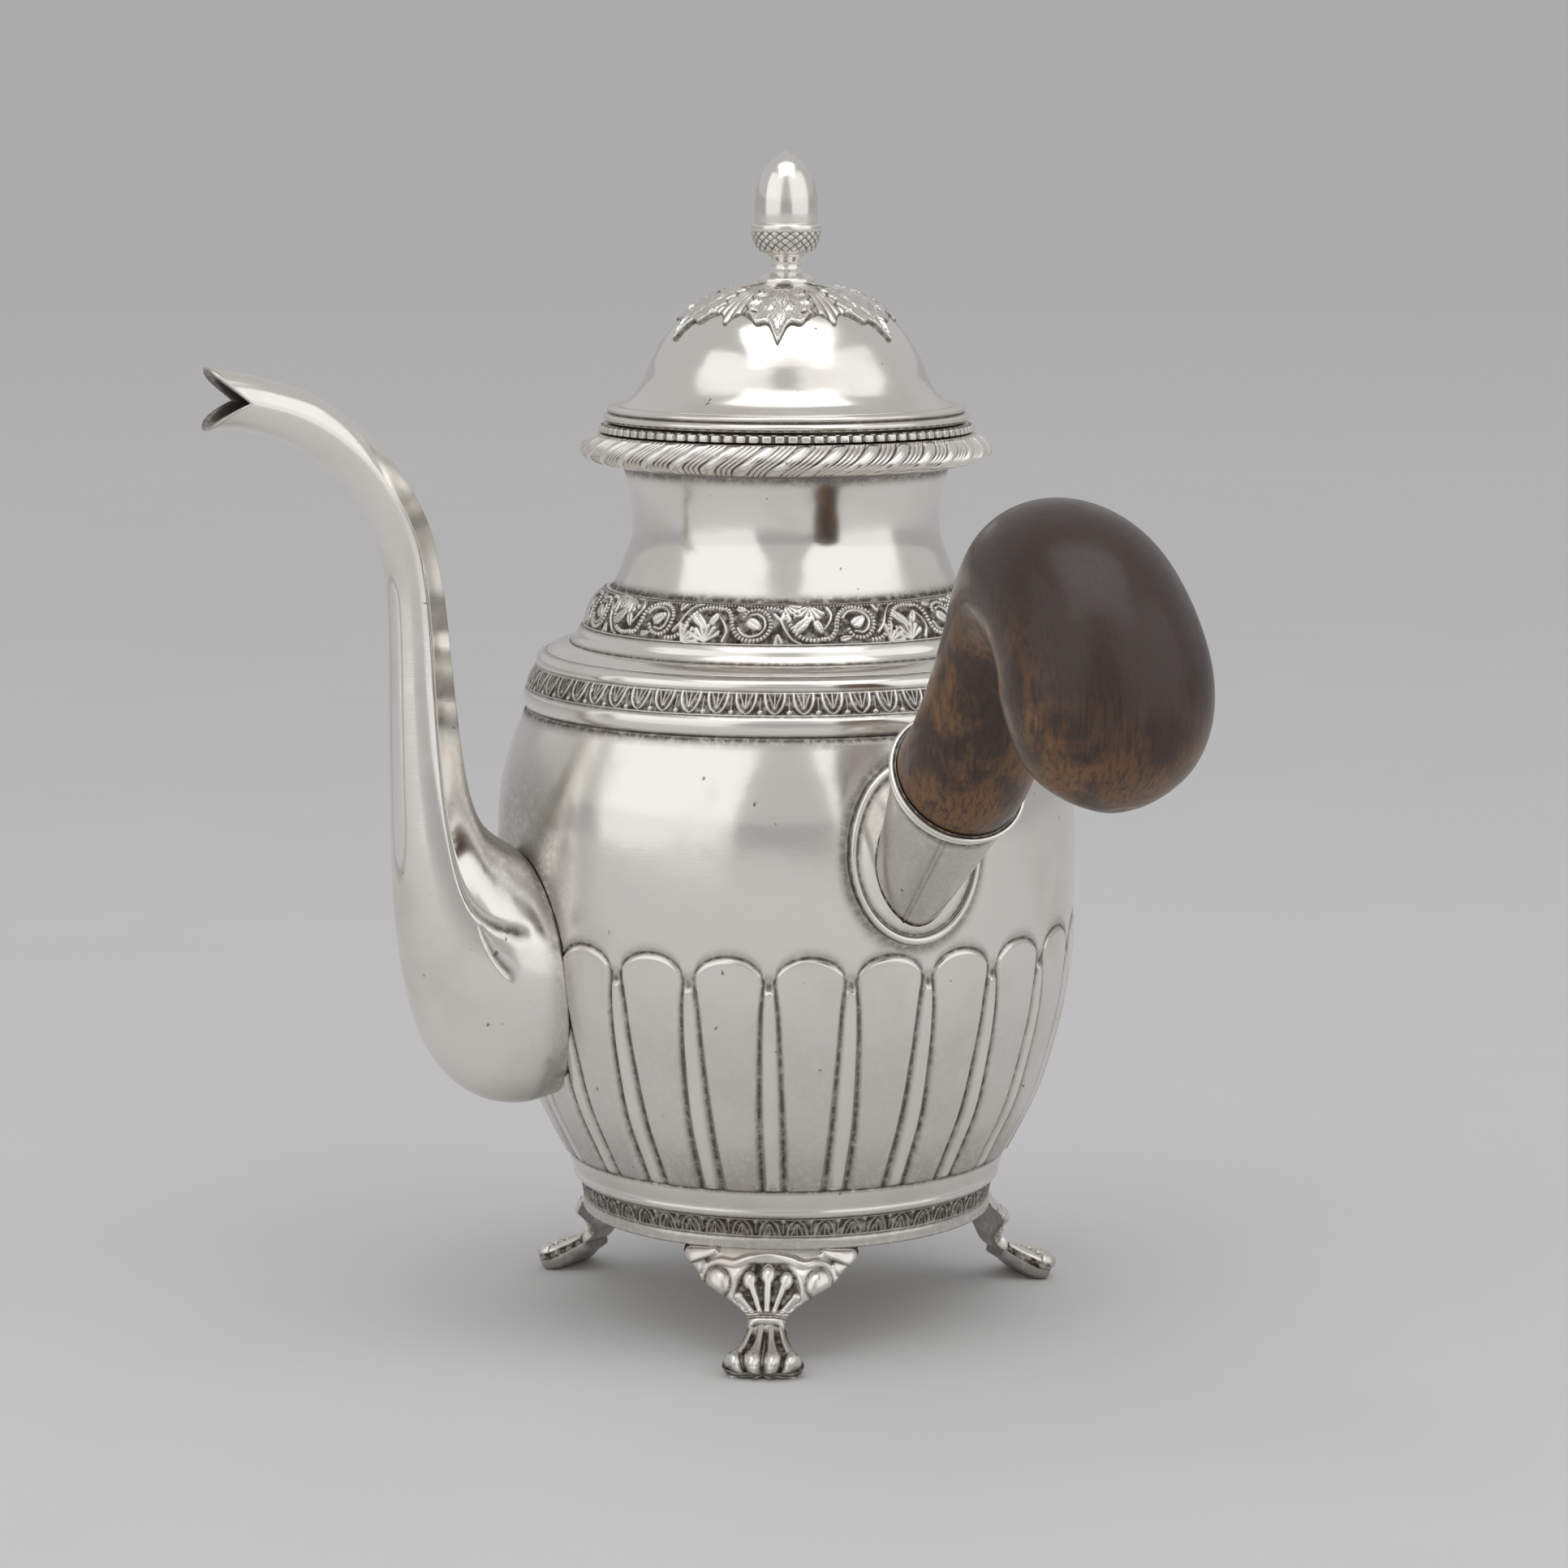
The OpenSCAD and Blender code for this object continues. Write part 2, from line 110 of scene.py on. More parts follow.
def centred(x):
    """The part of x within one repeat, from -0.5 to 0.5."""
    return x - np.round(x)


def signed(turn):
    """A turn in radians, brought to between half a turn back and half a turn on."""
    return (turn + math.pi) % TURN - math.pi


def stroke(x, y, points, width, height=0.45, notch=0.0, taper=0.0):
    """Height of a raised line along points.

    notch is the spacing of cuts across it, taper how much thinner it ends.
    """
    points = np.array(points, float)
    nearest = np.full(np.broadcast(x, y).shape, 1e9)
    place_on = np.zeros_like(nearest)
    run = along(points)
    for a, b, start in zip(points[:-1], points[1:], run[:-1]):
        seg = b - a
        size = max(float(seg @ seg), 1e-9)
        t = np.clip(((x - a[0]) * seg[0] + (y - a[1]) * seg[1]) / size, 0, 1)
        d = np.hypot(x - a[0] - t * seg[0], y - a[1] - t * seg[1])
        closer = d < nearest
        nearest = np.where(closer, d, nearest)
        place_on = np.where(closer, start + t * math.sqrt(size), place_on)
    share = place_on / max(run[-1], 1e-9)
    raised = height * ridge(nearest, width * (1 - taper * share))
    if notch:
        raised = raised * (1 - 0.75 * ramp(0.1, 0.6, np.cos(TURN * place_on / notch)))
    return raised


def lobe_shape(x, y, foot, tip, foot_width, tip_width):
    """A rounded lobe that widens from its foot to its tip: 1 on its crest, 0 outside."""
    foot, tip = np.array(foot, float), np.array(tip, float)
    seg = tip - foot
    t = np.clip(((x - foot[0]) * seg[0] + (y - foot[1]) * seg[1]) / (seg @ seg), 0, 1)
    d = np.hypot(x - foot[0] - t * seg[0], y - foot[1] - t * seg[1])
    return ridge(d, foot_width + (tip_width - foot_width) * t)


# ---- meshes


def welded(obj):
    """Merges the points of a ring that has shrunk to one point, so that the solid is closed."""
    shape = bmesh.new()
    shape.from_mesh(obj.data)
    bmesh.ops.remove_doubles(shape, verts=shape.verts, dist=1e-7)
    shape.to_mesh(obj.data)
    shape.free()
    return obj


def mesh_object(name, points, faces, marks=None):
    """An object from points in millimetres and four-cornered faces. marks are values for each point."""
    mesh = bpy.data.meshes.new(name)
    mesh.vertices.add(len(points))
    mesh.vertices.foreach_set("co", (np.asarray(points, float) * MM).astype(np.float32).ravel())
    mesh.loops.add(faces.size)
    mesh.loops.foreach_set("vertex_index", faces.astype(np.int32).ravel())
    mesh.polygons.add(len(faces))
    mesh.polygons.foreach_set("loop_start", np.arange(0, faces.size, faces.shape[1], dtype=np.int32))
    mesh.update(calc_edges=True)
    for mark, values in (marks or {}).items():
        attribute = mesh.attributes.new(mark, "FLOAT", "POINT")
        attribute.data.foreach_set("value", np.asarray(values, np.float32).ravel())
    mesh.shade_smooth()
    obj = bpy.data.objects.new(name, mesh)
    bpy.context.scene.collection.objects.link(obj)
    return obj


def skin(name, rings, recess=None, closed=False, extra=None):
    """A surface through rings of points, each closed on itself. closed joins the last ring to the first."""
    rows, columns = rings.shape[:2]
    index = np.arange(rows * columns).reshape(rows, columns)
    if closed:
        index = np.vstack([index, index[:1]])
    across = np.roll(index, -1, axis=1)
    faces = np.stack([index[:-1], across[:-1], across[1:], index[1:]], -1).reshape(-1, 4)
    marks = {"recess": np.zeros((rows, columns)) if recess is None else recess}
    marks.update(extra or {})
    return mesh_object(name, rings.reshape(-1, 3), faces, marks)


def outward(outline):
    """Unit normals of an outline of (r, z) that climbs the outside."""
    d = np.gradient(outline, axis=0)
    n = np.stack([d[:, 1], -d[:, 0]], -1)
    return n / np.maximum(np.linalg.norm(n, axis=1, keepdims=True), 1e-9)


def along(outline):
    """Distance along an outline from its start."""
    return np.concatenate([[0], np.cumsum(np.linalg.norm(np.diff(outline, axis=0), axis=1))])


def revolve(name, outline, columns=240, relief=None, closed=True, angles=None):
    """A turned piece. relief(angle, s, r, z) returns the height of its ornament and its recess."""
    outline = np.array(outline, float)
    angles = np.linspace(0, TURN, columns, endpoint=False) if angles is None else angles
    r, z = outline[:, :1], outline[:, 1:]
    height = recess = np.zeros((len(outline), len(angles)))
    if relief is not None:
        height, recess = relief(angles[None, :], along(outline)[:, None], r, z)
    n = outward(outline)
    r = r + height * n[:, :1]
    z = z + height * n[:, 1:] + 0 * angles[None, :]
    rings = np.stack([r * np.cos(angles), r * np.sin(angles), z], -1)
    return skin(name, rings, np.clip(recess, 0, 1), closed)


def place(obj, body, slot, *nodes, look=None):
    """Gives a piece the material of its slot, attaches it to its body, and hides the CAD nodes that it stands
    for.
    """
    obj.data.materials.clear()
    obj.data.materials.append(SLOT_LOOKS[slot] if look is None else look)
    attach(obj, body)
    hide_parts(*nodes)
    return obj


def cut(obj, tool):
    """Cuts holes with one closed tool object and removes the tool."""
    mod = obj.modifiers.new("cut", "BOOLEAN")
    mod.object = tool
    mod.operation = "DIFFERENCE"
    mod.solver = "MANIFOLD"
    dg = bpy.context.evaluated_depsgraph_get()
    mesh = bpy.data.meshes.new_from_object(obj.evaluated_get(dg), preserve_all_data_layers=True, depsgraph=dg)
    obj.modifiers.clear()
    obj.data = mesh
    mesh.name = obj.name
    bpy.data.objects.remove(tool)
    return obj


# ---- materials


def nodes_of(name):
    """A new material with its Principled shader, and short calls to add and join nodes."""
    mat = bpy.data.materials.new(name)
    mat.use_nodes = True
    tree = mat.node_tree
    shader = next(n for n in tree.nodes if n.type == "BSDF_PRINCIPLED")

    def add(kind, **values):
        node = tree.nodes.new(kind)
        for key, value in values.items():
            if hasattr(node, key):
                setattr(node, key, value)
            else:
                node.inputs[key].default_value = value
        return node

    def join(a, b):
        tree.links.new(a, b)

    return mat, shader, add, join


def scaled(add, join, source, stretch):
    """Texture coordinates stretched along each axis."""
    mapping = add("ShaderNodeMapping")
    mapping.inputs["Scale"].default_value = stretch
    join(source, mapping.inputs["Vector"])
    return mapping.outputs["Vector"]


def noise(add, join, vector, size_mm, detail=3.0, rough=0.55):
    """Noise with features of about size_mm."""
    node = add("ShaderNodeTexNoise", Scale=1000.0 / size_mm, Detail=detail, Roughness=rough)
    join(vector, node.inputs["Vector"])
    return node.outputs["Fac"]


def span(add, join, value, low_in, high_in, low_out=0.0, high_out=1.0):
    """Maps a value from one range to another, held at the ends."""
    node = add("ShaderNodeMapRange", interpolation_type="SMOOTHSTEP")
    limits = {"From Min": low_in, "From Max": high_in, "To Min": low_out, "To Max": high_out}
    for socket, number in limits.items():
        node.inputs[socket].default_value = number
    join(value, node.inputs["Value"])
    return node.outputs["Result"]


def combine(add, join, operation, a, b):
    """Math on two values, either of which may be a number."""
    node = add("ShaderNodeMath", operation=operation, use_clamp=True)
    for socket, value in zip(node.inputs, (a, b)):
        if isinstance(value, (int, float)):
            socket.default_value = value
        else:
            join(value, socket)
    return node.outputs["Value"]


def blend_colour(add, join, factor, a, b):
    """Mixes two colours, either of which may be a socket."""
    node = add("ShaderNodeMix", data_type="RGBA")
    join(factor, node.inputs["Factor"])
    for socket, value in zip((node.inputs[6], node.inputs[7]), (a, b)):
        if isinstance(value, tuple):
            socket.default_value = (*value, 1.0)
        else:
            join(value, socket)
    return node.outputs[2]


CLEAN_SILVER = (0.875, 0.85, 0.808)
HAZY_SILVER = (0.58, 0.52, 0.44)
SPOT_BROWN = (0.16, 0.12, 0.09)
# darkest colour: tarnish in hollows, and painted shade along the spout's creases
TARNISH_AND_SHADE_BLACK = (0.06, 0.045, 0.034)
DARK_WOOD = (0.034, 0.017, 0.012)
AMBER_WOOD = (0.180, 0.086, 0.032)
FIBRE_BROWN = (0.022, 0.012, 0.008)


def silver(name, polish, tarnish, grain=0.25):
    """Old silver: bright where rubbed, brown-grey in its recesses (tarnish, and painted shade along the
    spout's creases), with haze, spots and fine scratches.
    """
    mat, shader, add, join = nodes_of(name)
    place_at = add("ShaderNodeTexCoord").outputs["Object"]
    recess = add("ShaderNodeAttribute", attribute_name="recess").outputs["Fac"]
    cloud = noise(add, join, place_at, 22, 4)
    fine = noise(add, join, place_at, 1.6, 4, 0.65)
    haze = span(add, join, cloud, 0.45, 0.8, 0, tarnish)
    # darkens where the recess mark is: tarnish in hollows, and painted shade along the spout's creases
    tarnish_and_shade = combine(add, join, "MULTIPLY", recess, span(add, join, fine, 0.25, 0.6, 0.55, 1.0))
    colour = blend_colour(add, join, haze, CLEAN_SILVER, HAZY_SILVER)
    spots = span(add, join, noise(add, join, place_at, 2.6, 2, 0.4), 0.74, 0.8, 0, 0.75)
    colour = blend_colour(add, join, spots, colour, SPOT_BROWN)
    colour = blend_colour(add, join, tarnish_and_shade, colour, TARNISH_AND_SHADE_BLACK)
    join(colour, shader.inputs["Base Color"])
    shader.inputs["Metallic"].default_value = 1.0
    rough = combine(add, join, "ADD", span(add, join, cloud, 0.35, 0.75, polish, polish + 0.12), 0.0)
    rough = combine(add, join, "ADD", rough, combine(add, join, "MULTIPLY", tarnish_and_shade, 0.4))
    rough = combine(add, join, "ADD", rough, combine(add, join, "MULTIPLY", fine, 0.06))
    join(rough, shader.inputs["Roughness"])
    scratch = noise(add, join, scaled(add, join, place_at, (0.25, 0.25, 3.0)), 1.2, 3)
    bump_fine = add("ShaderNodeBump", Strength=grain, Distance=0.00003)
    join(scratch, bump_fine.inputs["Height"])
    bump_wave = add("ShaderNodeBump", Strength=0.6, Distance=0.00018)
    join(noise(add, join, place_at, 16, 2), bump_wave.inputs["Height"])
    join(bump_fine.outputs["Normal"], bump_wave.inputs["Normal"])
    join(bump_wave.outputs["Normal"], shader.inputs["Normal"])
    return mat


def old_wood(name):
    """Dark oiled wood, rubbed amber where the amber mark says, with a fine short grain."""
    mat, shader, add, join = nodes_of(name)
    place_at = add("ShaderNodeTexCoord").outputs["Object"]
    amber = add("ShaderNodeAttribute", attribute_name="amber").outputs["Fac"]
    cloud = noise(add, join, place_at, 14, 4, 0.6)
    fibre = noise(add, join, scaled(add, join, place_at, (6.0, 2.4, 0.5)), 4.0, 4, 0.6)
    patch = combine(add, join, "MULTIPLY", amber, span(add, join, cloud, 0.4, 0.58, 0.1, 1.0))
    colour = blend_colour(add, join, patch, DARK_WOOD, AMBER_WOOD)
    dark = span(add, join, fibre, 0.45, 0.66, 0, 0.7)
    colour = blend_colour(add, join, dark, colour, FIBRE_BROWN)
    join(colour, shader.inputs["Base Color"])
    join(span(add, join, cloud, 0.3, 0.7, 0.34, 0.44), shader.inputs["Roughness"])
    shader.inputs["Specular IOR Level"].default_value = 0.4
    shader.inputs["Coat Weight"].default_value = 0.3
    shader.inputs["Coat Roughness"].default_value = 0.18
    bump = add("ShaderNodeBump", Strength=0.35, Distance=0.00015)
    join(fibre, bump.inputs["Height"])
    join(bump.outputs["Normal"], shader.inputs["Normal"])
    return mat


POLISHED = silver("polished_silver", polish=0.11, tarnish=0.36)
CHASED = silver("chased_silver", polish=0.16, tarnish=0.6, grain=0.5)
INSIDE = silver("inner_silver", polish=0.34, tarnish=0.9, grain=0.8)
SLOT_LOOKS = {"polished_silver": POLISHED, "chased_silver": CHASED, "dark_wood": old_wood("dark_wood")}


# ---- the pot's wall

WALL = 0.9
PLATE_Z = 117.5  # height of the middle of the handle's plate
LOBES = 23
FIRST_RIB = VIEW_TURN + math.radians(12.4)
LOBE_TOP = 94.6
LOBE_NOTCH = 89.2  # height where two lobes' arches meet
# Outside of the pot, from the body's foot to its top, over the shoulder, and up the neck: radius, height
BODY = [(51.2, 38.8), (54.4, 44.7), (60, 56.5), (64.4, 72), (66.4, 84), (67.1, 98), (67.2, 112), (66.4, 124),
        (64.1, 133.2), (60.6, 142.3)]
SHOULDER = [(58.9, 143.6), (58.3, 147.5), (55.9, 152.6), (53.9, 155), (49.3, 156.9), (46.6, 158.2),
            (46.6, 159.4)]
NECK = [(46.6, 159.4), (45.9, 160.6), (45, 163.6), (43.6, 167), (41.8, 169.2), (40, 170.9), (37.6, 176.4),
        (35.8, 181.6), (35.4, 186.5), (35.9, 192), (37.2, 196.8), (37.5, 200), (37.5, 205.9)]
BODY_LINE = curve(BODY, 40)


def body_r(z):
    """Radius of the plain body at a height."""
    return np.interp(z, BODY_LINE[:, 1], BODY_LINE[:, 0])


def lobe_relief(angle, s, r, z):
    """The lower body's tongues with arched tops, a rib between each pair, and a dark line round each."""
    pitch = TURN * r / LOBES
    x = np.abs(centred((angle - FIRST_RIB) / TURN * LOBES + 0.5)) * pitch
    rise = np.clip((z - Z_BODY) / (LOBE_NOTCH - Z_BODY), 0, 1)
    half = 3.75 + 3.35 * rise
    gap = 1.6 - 0.8 * rise
    arch = LOBE_NOTCH + (LOBE_TOP - LOBE_NOTCH) * ridge(x, half + 0.75) - z
    arch = np.where(z < LOBE_NOTCH - 2.5, 9, arch)
    inside = np.minimum(half + 0.35 * ramp(LOBE_NOTCH - 8, LOBE_NOTCH, z) - x, arch)
    under = z < LOBE_TOP + 4
    lobe = (0.75 - 0.5 * rise) * dome(inside, 1.5) + 0.1 * line(inside - 0.9, 0.5) * (inside > 0)
    from_rib = pitch / 2 - x
    rib_fade = 1 - ramp(LOBE_NOTCH - 2.4, LOBE_NOTCH - 1.4, z)
    ribs = 0.6 * ridge(from_rib, np.maximum(pitch / 2 - half - gap, 0.5)) * rib_fade
    on_side = arch > 1
    middle = np.where(on_side, inside + gap / 2, inside + 0.45)
    width = np.where(on_side, gap * 0.52, 0.5)
    grooves = -0.3 * line(middle, width)
    height = (np.where(inside > 0, lobe, 0) + ribs + grooves) * under
    # a dark line just outside each lobe's arched top
    arch_outline = 0.35 * line(inside + 1.2, 1.1) * (arch < 0.5)
    notch = 0.9 * line(np.hypot(from_rib, (z - LOBE_NOTCH + 0.6) * 0.8), 1.0)
    recess = np.maximum.reduce([0.95 * line(middle, width * 1.15), arch_outline, notch]) * under
    # the lobes get darker towards the foot of the body
    darker_low = 0.13 * ramp(96, 66, z) + 0.22 * ramp(54, 40, z)
    return height, np.maximum(recess, darker_low * (inside > 0))


def uneven_angles(count, each, first, crowd):
    """Angles crowded towards the edges of each repeat."""
    t = np.arange(count * each) / each
    t = t - crowd * np.sin(TURN * t) / TURN
    return first + t / count * TURN


def rods(name, starts, ends, radius, sides=20):
    """Closed round rods in one object, from each start to its end, to cut holes with."""
    a = np.linspace(0, TURN, sides, endpoint=False)
    points, faces = [], []
    for start, end in zip(np.array(starts, float), np.array(ends, float)):
        line_of = Vector(end - start).normalized()
        one = np.array(line_of.orthogonal().normalized())
        two = np.cross(np.array(line_of), one)
        circle = radius * (np.cos(a)[:, None] * one + np.sin(a)[:, None] * two)
        rings = np.array([0 * circle + start, circle + start, circle + end, 0 * circle + end])
        index = np.arange(4 * sides).reshape(4, sides) + 4 * sides * len(points)
        across = np.roll(index, -1, axis=1)
        points.append(rings.reshape(-1, 3))
        faces.append(np.stack([index[:-1], across[:-1], across[1:], index[1:]], -1).reshape(-1, 4))
    return welded(mesh_object(name, np.concatenate(points), np.concatenate(faces)))


STRAINER_PITCH = 6.0
STRAINER_Z = 86.0
STRAINER_R = 1.4


def strainer_rods():
    """Rods at the strainer's places, to cut its holes where the spout meets the body."""
    places = []
    for row in range(-3, 4):
        for column in range(-2, 3):
            if abs(row) < 3 or abs(column) < 2:
                across = (column + 0.5 * (row % 2)) * STRAINER_PITCH - 1.5
                places.append((across, STRAINER_Z + row * STRAINER_PITCH))
    return rods("strainer", [(-72, y, z) for y, z in places], [(-58, y, z) for y, z in places], STRAINER_R)


def hollow(outside, step=4):
    """The whole outline of a wall: its outside, and its inside coming back down, level at both ends."""
    inside = (outside - WALL * outward(outside))[::-step]
    inside[0, 1] = outside[-1, 1]
    inside[-1, 1] = outside[0, 1]
    return path(outside, inside)


def from_spot(angle, r, z, turn, height, wide, tall):
    """Distance on the wall from a spot, 1 on an oval round it with half sizes wide and tall."""
    return np.hypot(centred((angle - turn) / TURN) * TURN * r / wide, (z - height) / tall)


def make_body():
    """The body's wall with its lobes, shallow dents, stains and strainer holes."""
    rows = np.concatenate([np.linspace(Z_BODY, 84, 46, endpoint=False),
                           np.linspace(84, 96.5, 64, endpoint=False),
                           np.linspace(96.5, BODY[-1][1], 40)])
    outside = path(np.stack([body_r(rows), rows], -1), curve(SHOULDER, 3))
    outline = hollow(outside)
    outer = np.arange(len(outline))[:, None] < len(outside)

    def relief(angle, s, r, z):
        height, recess = lobe_relief(angle, s, r, z)
        foot = np.clip((z - Z_BODY) / 0.8, 0, 1)
        seam = 0.95 * line(z - 142.2, 1.0)
        stain = 0.4 * (1 - ramp(0.3, 0.95, from_spot(angle, r, z, math.pi, 112, 34, 30)))
        from_plate = np.abs(from_spot(angle, r, z, -math.pi / 2, PLATE_Z, 17.2, 21.2) - 1)
        stain = np.maximum(stain, 0.7 * line(from_plate * 17, 1.3))
        dents = 0.05 * np.sin(angle * 7 + z * 0.11) * np.sin(z * 0.19 + 1.3 * np.sin(angle * 3))
        height = (height * foot + dents - 0.07) * outer
        return height, np.maximum(recess, stain) * outer + seam + 0.45 * ~outer

    body = revolve("pot_wall", outline, relief=relief, angles=uneven_angles(LOBES, 46, FIRST_RIB, 0.72))
    cut(body, strainer_rods())
    return place(body, "pot", "polished_silver", "body_shell")


def make_neck():
    """The neck's wall, dark where it meets the scroll band and the rim."""
    outside = curve(NECK, 10)
    outline = hollow(outside, 3)
    outer = np.arange(len(outline))[:, None] < len(outside)

    def relief(angle, s, r, z):
        edges = 0.95 * line(z - 170.7, 1.1) + 0.75 * line(z - 197.6, 1.3)
        dents = 0.05 * np.sin(angle * 5 + z * 0.17) * np.sin(z * 0.31 + angle * 2)
        return dents * outer, edges * outer + 0.4 * ~outer + 0 * angle

    neck = revolve("neck", outline, 240, relief)
    return place(neck, "pot", "polished_silver", "neck")


make_body()
make_neck()


# ---- plain rings


def ring(name, outer, inner, body, node, columns=300, relief=None, slot="polished_silver"):
    """A ring with a smooth outside line and a plain inside, which stands for one CAD node."""
    piece = revolve(name, path(curve(outer, 10), inner), columns, relief)
    return place(piece, body, slot, node)


def edges_dark(low_z, high_z, width=0.7, amount=0.8, darkening=0.0):
    """A relief that only darkens a ring: its two edges, and the whole ring by an even amount (the last
    argument).
    """

    def relief(angle, s, r, z):
        edges = amount * (line(z - low_z, width) + line(z - high_z, width))
        return 0 * angle + 0 * z, np.maximum(edges, darkening) + 0 * angle

    return relief


ring("base_strip", [(47.0, 24.5), (47.7, 24.7), (47.75, 25.6), (47.7, 26.8), (47.3, 27.5)],
     [(45.9, 27.5), (45.9, 24.5)], "pot", "base_lower_moulding",
     relief=edges_dark(24.5, 27.5, 0.6, 0.75, 0.35))
ring("base_ogee", [(48.7, 31.9), (49.6, 32.5), (50.0, 33.4), (49.9, 34.4), (50.3, 35.6), (50.8, 37),
                   (51.1, 38.2), (51, 38.8)],
     [(47.2, 38.8), (47.2, 31.9)], "pot", "base_upper_moulding",
     relief=edges_dark(31.9, 38.9, 0.7, 0.95, 0.08))
ring("shoulder_roll", [(60.2, 143), (60.8, 144.1), (60.9, 145.4), (60.7, 146.6), (60, 147.5)],
     [(58.6, 147.5), (59, 143)], "pot", "shoulder_lower_moulding", relief=edges_dark(142.9, 147.6, 0.5, 0.9))
ring("shoulder_ridge", [(57.6, 152.6), (57.9, 153.5), (57.6, 154.6), (56.6, 155.4), (55.4, 155.8)],
     [(53.6, 155.2), (55.6, 152.6)], "pot", "shoulder_upper_moulding", relief=edges_dark(152.5, 156, 0.4))
ring("shoulder_cap", [(55.4, 155.8), (54.1, 156.7), (52.3, 157.5), (50.2, 157.8)],
     [(48.5, 157.3), (53.6, 155.2)], "pot", "shoulder_cap")
ring("scroll_step", [(50.2, 157.8), (48.9, 159.2), (48.3, 160.4), (47.4, 161.6)],
     [(46.2, 161.6), (46.7, 158.2)], "pot", "scroll_band_moulding", relief=edges_dark(157.8, 161.8, 0.5, 0.9))


# ---- ornamented bands

SHOULDER_LEAVES = 58
BASE_LEAVES = 48
LEAF_BAND_R = 52.0  # radius at which the leaves' widths are laid out
LEAF_HALF = 0.40  # half width of a leaf, as a share of the pitch
GADROONS = 35
BEADS = 92


def leaf_relief(count, tall, pointing, darkening):
    """Leaves in a row with veins, a ball between each pair. pointing is 1 up, -1 down; the last argument is
    how dark the whole band is.
    """

    def relief(angle, s, r, z):
        pitch = TURN * LEAF_BAND_R / count
        x = centred(angle / TURN * count) * pitch
        y = s if pointing > 0 else tall - s
        y = y + 0 * x
        half = pitch * LEAF_HALF * np.sqrt(np.clip(1 - np.clip(y / (tall * 0.9), 0, 1) ** 2.4, 0, 1))
        depth = half - np.abs(x)
        leaf = 0.36 * line(depth - 0.28, 0.30) * (y < tall * 0.92)
        vein_at = 0.6 * pitch * LEAF_HALF * np.clip(1 - y / (0.8 * tall), 0, 1)
        vein = 0.26 * line(np.abs(x) - vein_at, 0.2) * (y < tall * 0.7)
        spine = 0.26 * line(x, 0.2) * (y < tall * 0.72)
        body = 0.05 * ramp(0, 0.5, depth)
        gap_x = np.abs(centred(angle / TURN * count + 0.5)) * pitch
        stem = 0.22 * line(gap_x, 0.2) * (y > tall * 0.2) * (y < tall * 0.8)
        ball = 0.42 * ridge(np.hypot(gap_x, y - tall * 0.84), 0.55)
        edge = 0.3 * (line(s - 0.15, 0.25) + line(s - tall + 0.15, 0.25))
        height = np.maximum.reduce(np.broadcast_arrays(leaf, vein, spine, body, stem, ball, edge)) - 0.14
        on_outside = s < tall + 0.05
        recess = np.maximum((1 - ramp(-0.06, 0.2, height)) * 0.97, darkening)
        return height * on_outside, recess * on_outside

    return relief


def leaf_band(name, node, outer, inner, count, pointing, darkening):
    """A ring of leaves that are as tall as its outside line is long."""
    relief = leaf_relief(count, along(curve(outer, 10))[-1], pointing, darkening)
    ring(name, outer, inner, "pot", node, count * 28, relief, "chased_silver")


leaf_band("shoulder_leaves", "shoulder_leaf_band", [(59.9, 147.5), (59.6, 149), (58.9, 150.6), (57.6, 152.6)],
          [(55.7, 152.6), (58.1, 147.5)], SHOULDER_LEAVES, -1, 0.12)
leaf_band("base_leaves", "base_leaf_band", [(47.4, 27.5), (47.7, 28.9), (48.0, 30.4), (48.3, 31.9)],
          [(46.0, 31.9), (46.0, 27.5)], BASE_LEAVES, 1, 0.55)


def gadroon_relief(angle, s, r, z):
    """Slanting gadroons: one wide lobe and three thin reeds to each repeat."""
    lean = 1.15 * (z - 198) / 8
    p = (angle / TURN * GADROONS - lean) % 1
    lobe = 1.0 * ridge(p - 0.25, 0.24)
    reeds = np.maximum.reduce([0.6 * ridge(p - q, 0.075) for q in (0.585, 0.745, 0.905)])
    swell = ramp(40.5, 44.5, r) * (1 - ramp(204.9, 205.7, z) * (r > 38))
    height = np.maximum(lobe, reeds)
    dark = (1 - ramp(0.05, 0.5, height)) * 0.97
    return (1.3 * height - 0.75) * swell, np.maximum(dark, 0.5 * (r < 41)) * (r > 37.7)


def bead_relief(angle, s, r, z):
    """A row of small square beads."""
    p = np.abs(centred(angle / TURN * BEADS))
    outside = ramp(41.6, 42.4, r)
    bead = (1 - ramp(0.26, 0.44, p)) * (1 - ramp(0.62, 1.0, np.abs(z - 207)))
    return (0.55 * bead - 0.45) * outside, (1 - bead) * outside * 0.9


ring("gadroon_rim", [(37.6, 197.9), (41.7, 198.9), (44.2, 199.7), (46, 200.5), (46.9, 201.4), (46.9, 202.4),
                     (46.2, 203.6), (44.8, 204.8), (43.2, 205.8)],
     [(37.6, 205.8)], "pot", "rim_gadroon", GADROONS * 60, gadroon_relief, "chased_silver")
ring("beading", [(42.8, 205.9), (43.1, 206.3), (43.15, 207.0), (43.0, 207.6), (42.4, 207.95)],
     [(41.5, 208.0), (37.3, 208.0), (37.3, 205.9)], "pot", "rim_beading", BEADS * 16, bead_relief,
     "chased_silver")

SCROLLS = 12
SCROLL_TALL = 10.4
SCROLL_R = 46.0  # radius at which the scrolls' lengths are laid out
SCROLL_LONG = 24.0  # length along the band from one upright scroll to the next
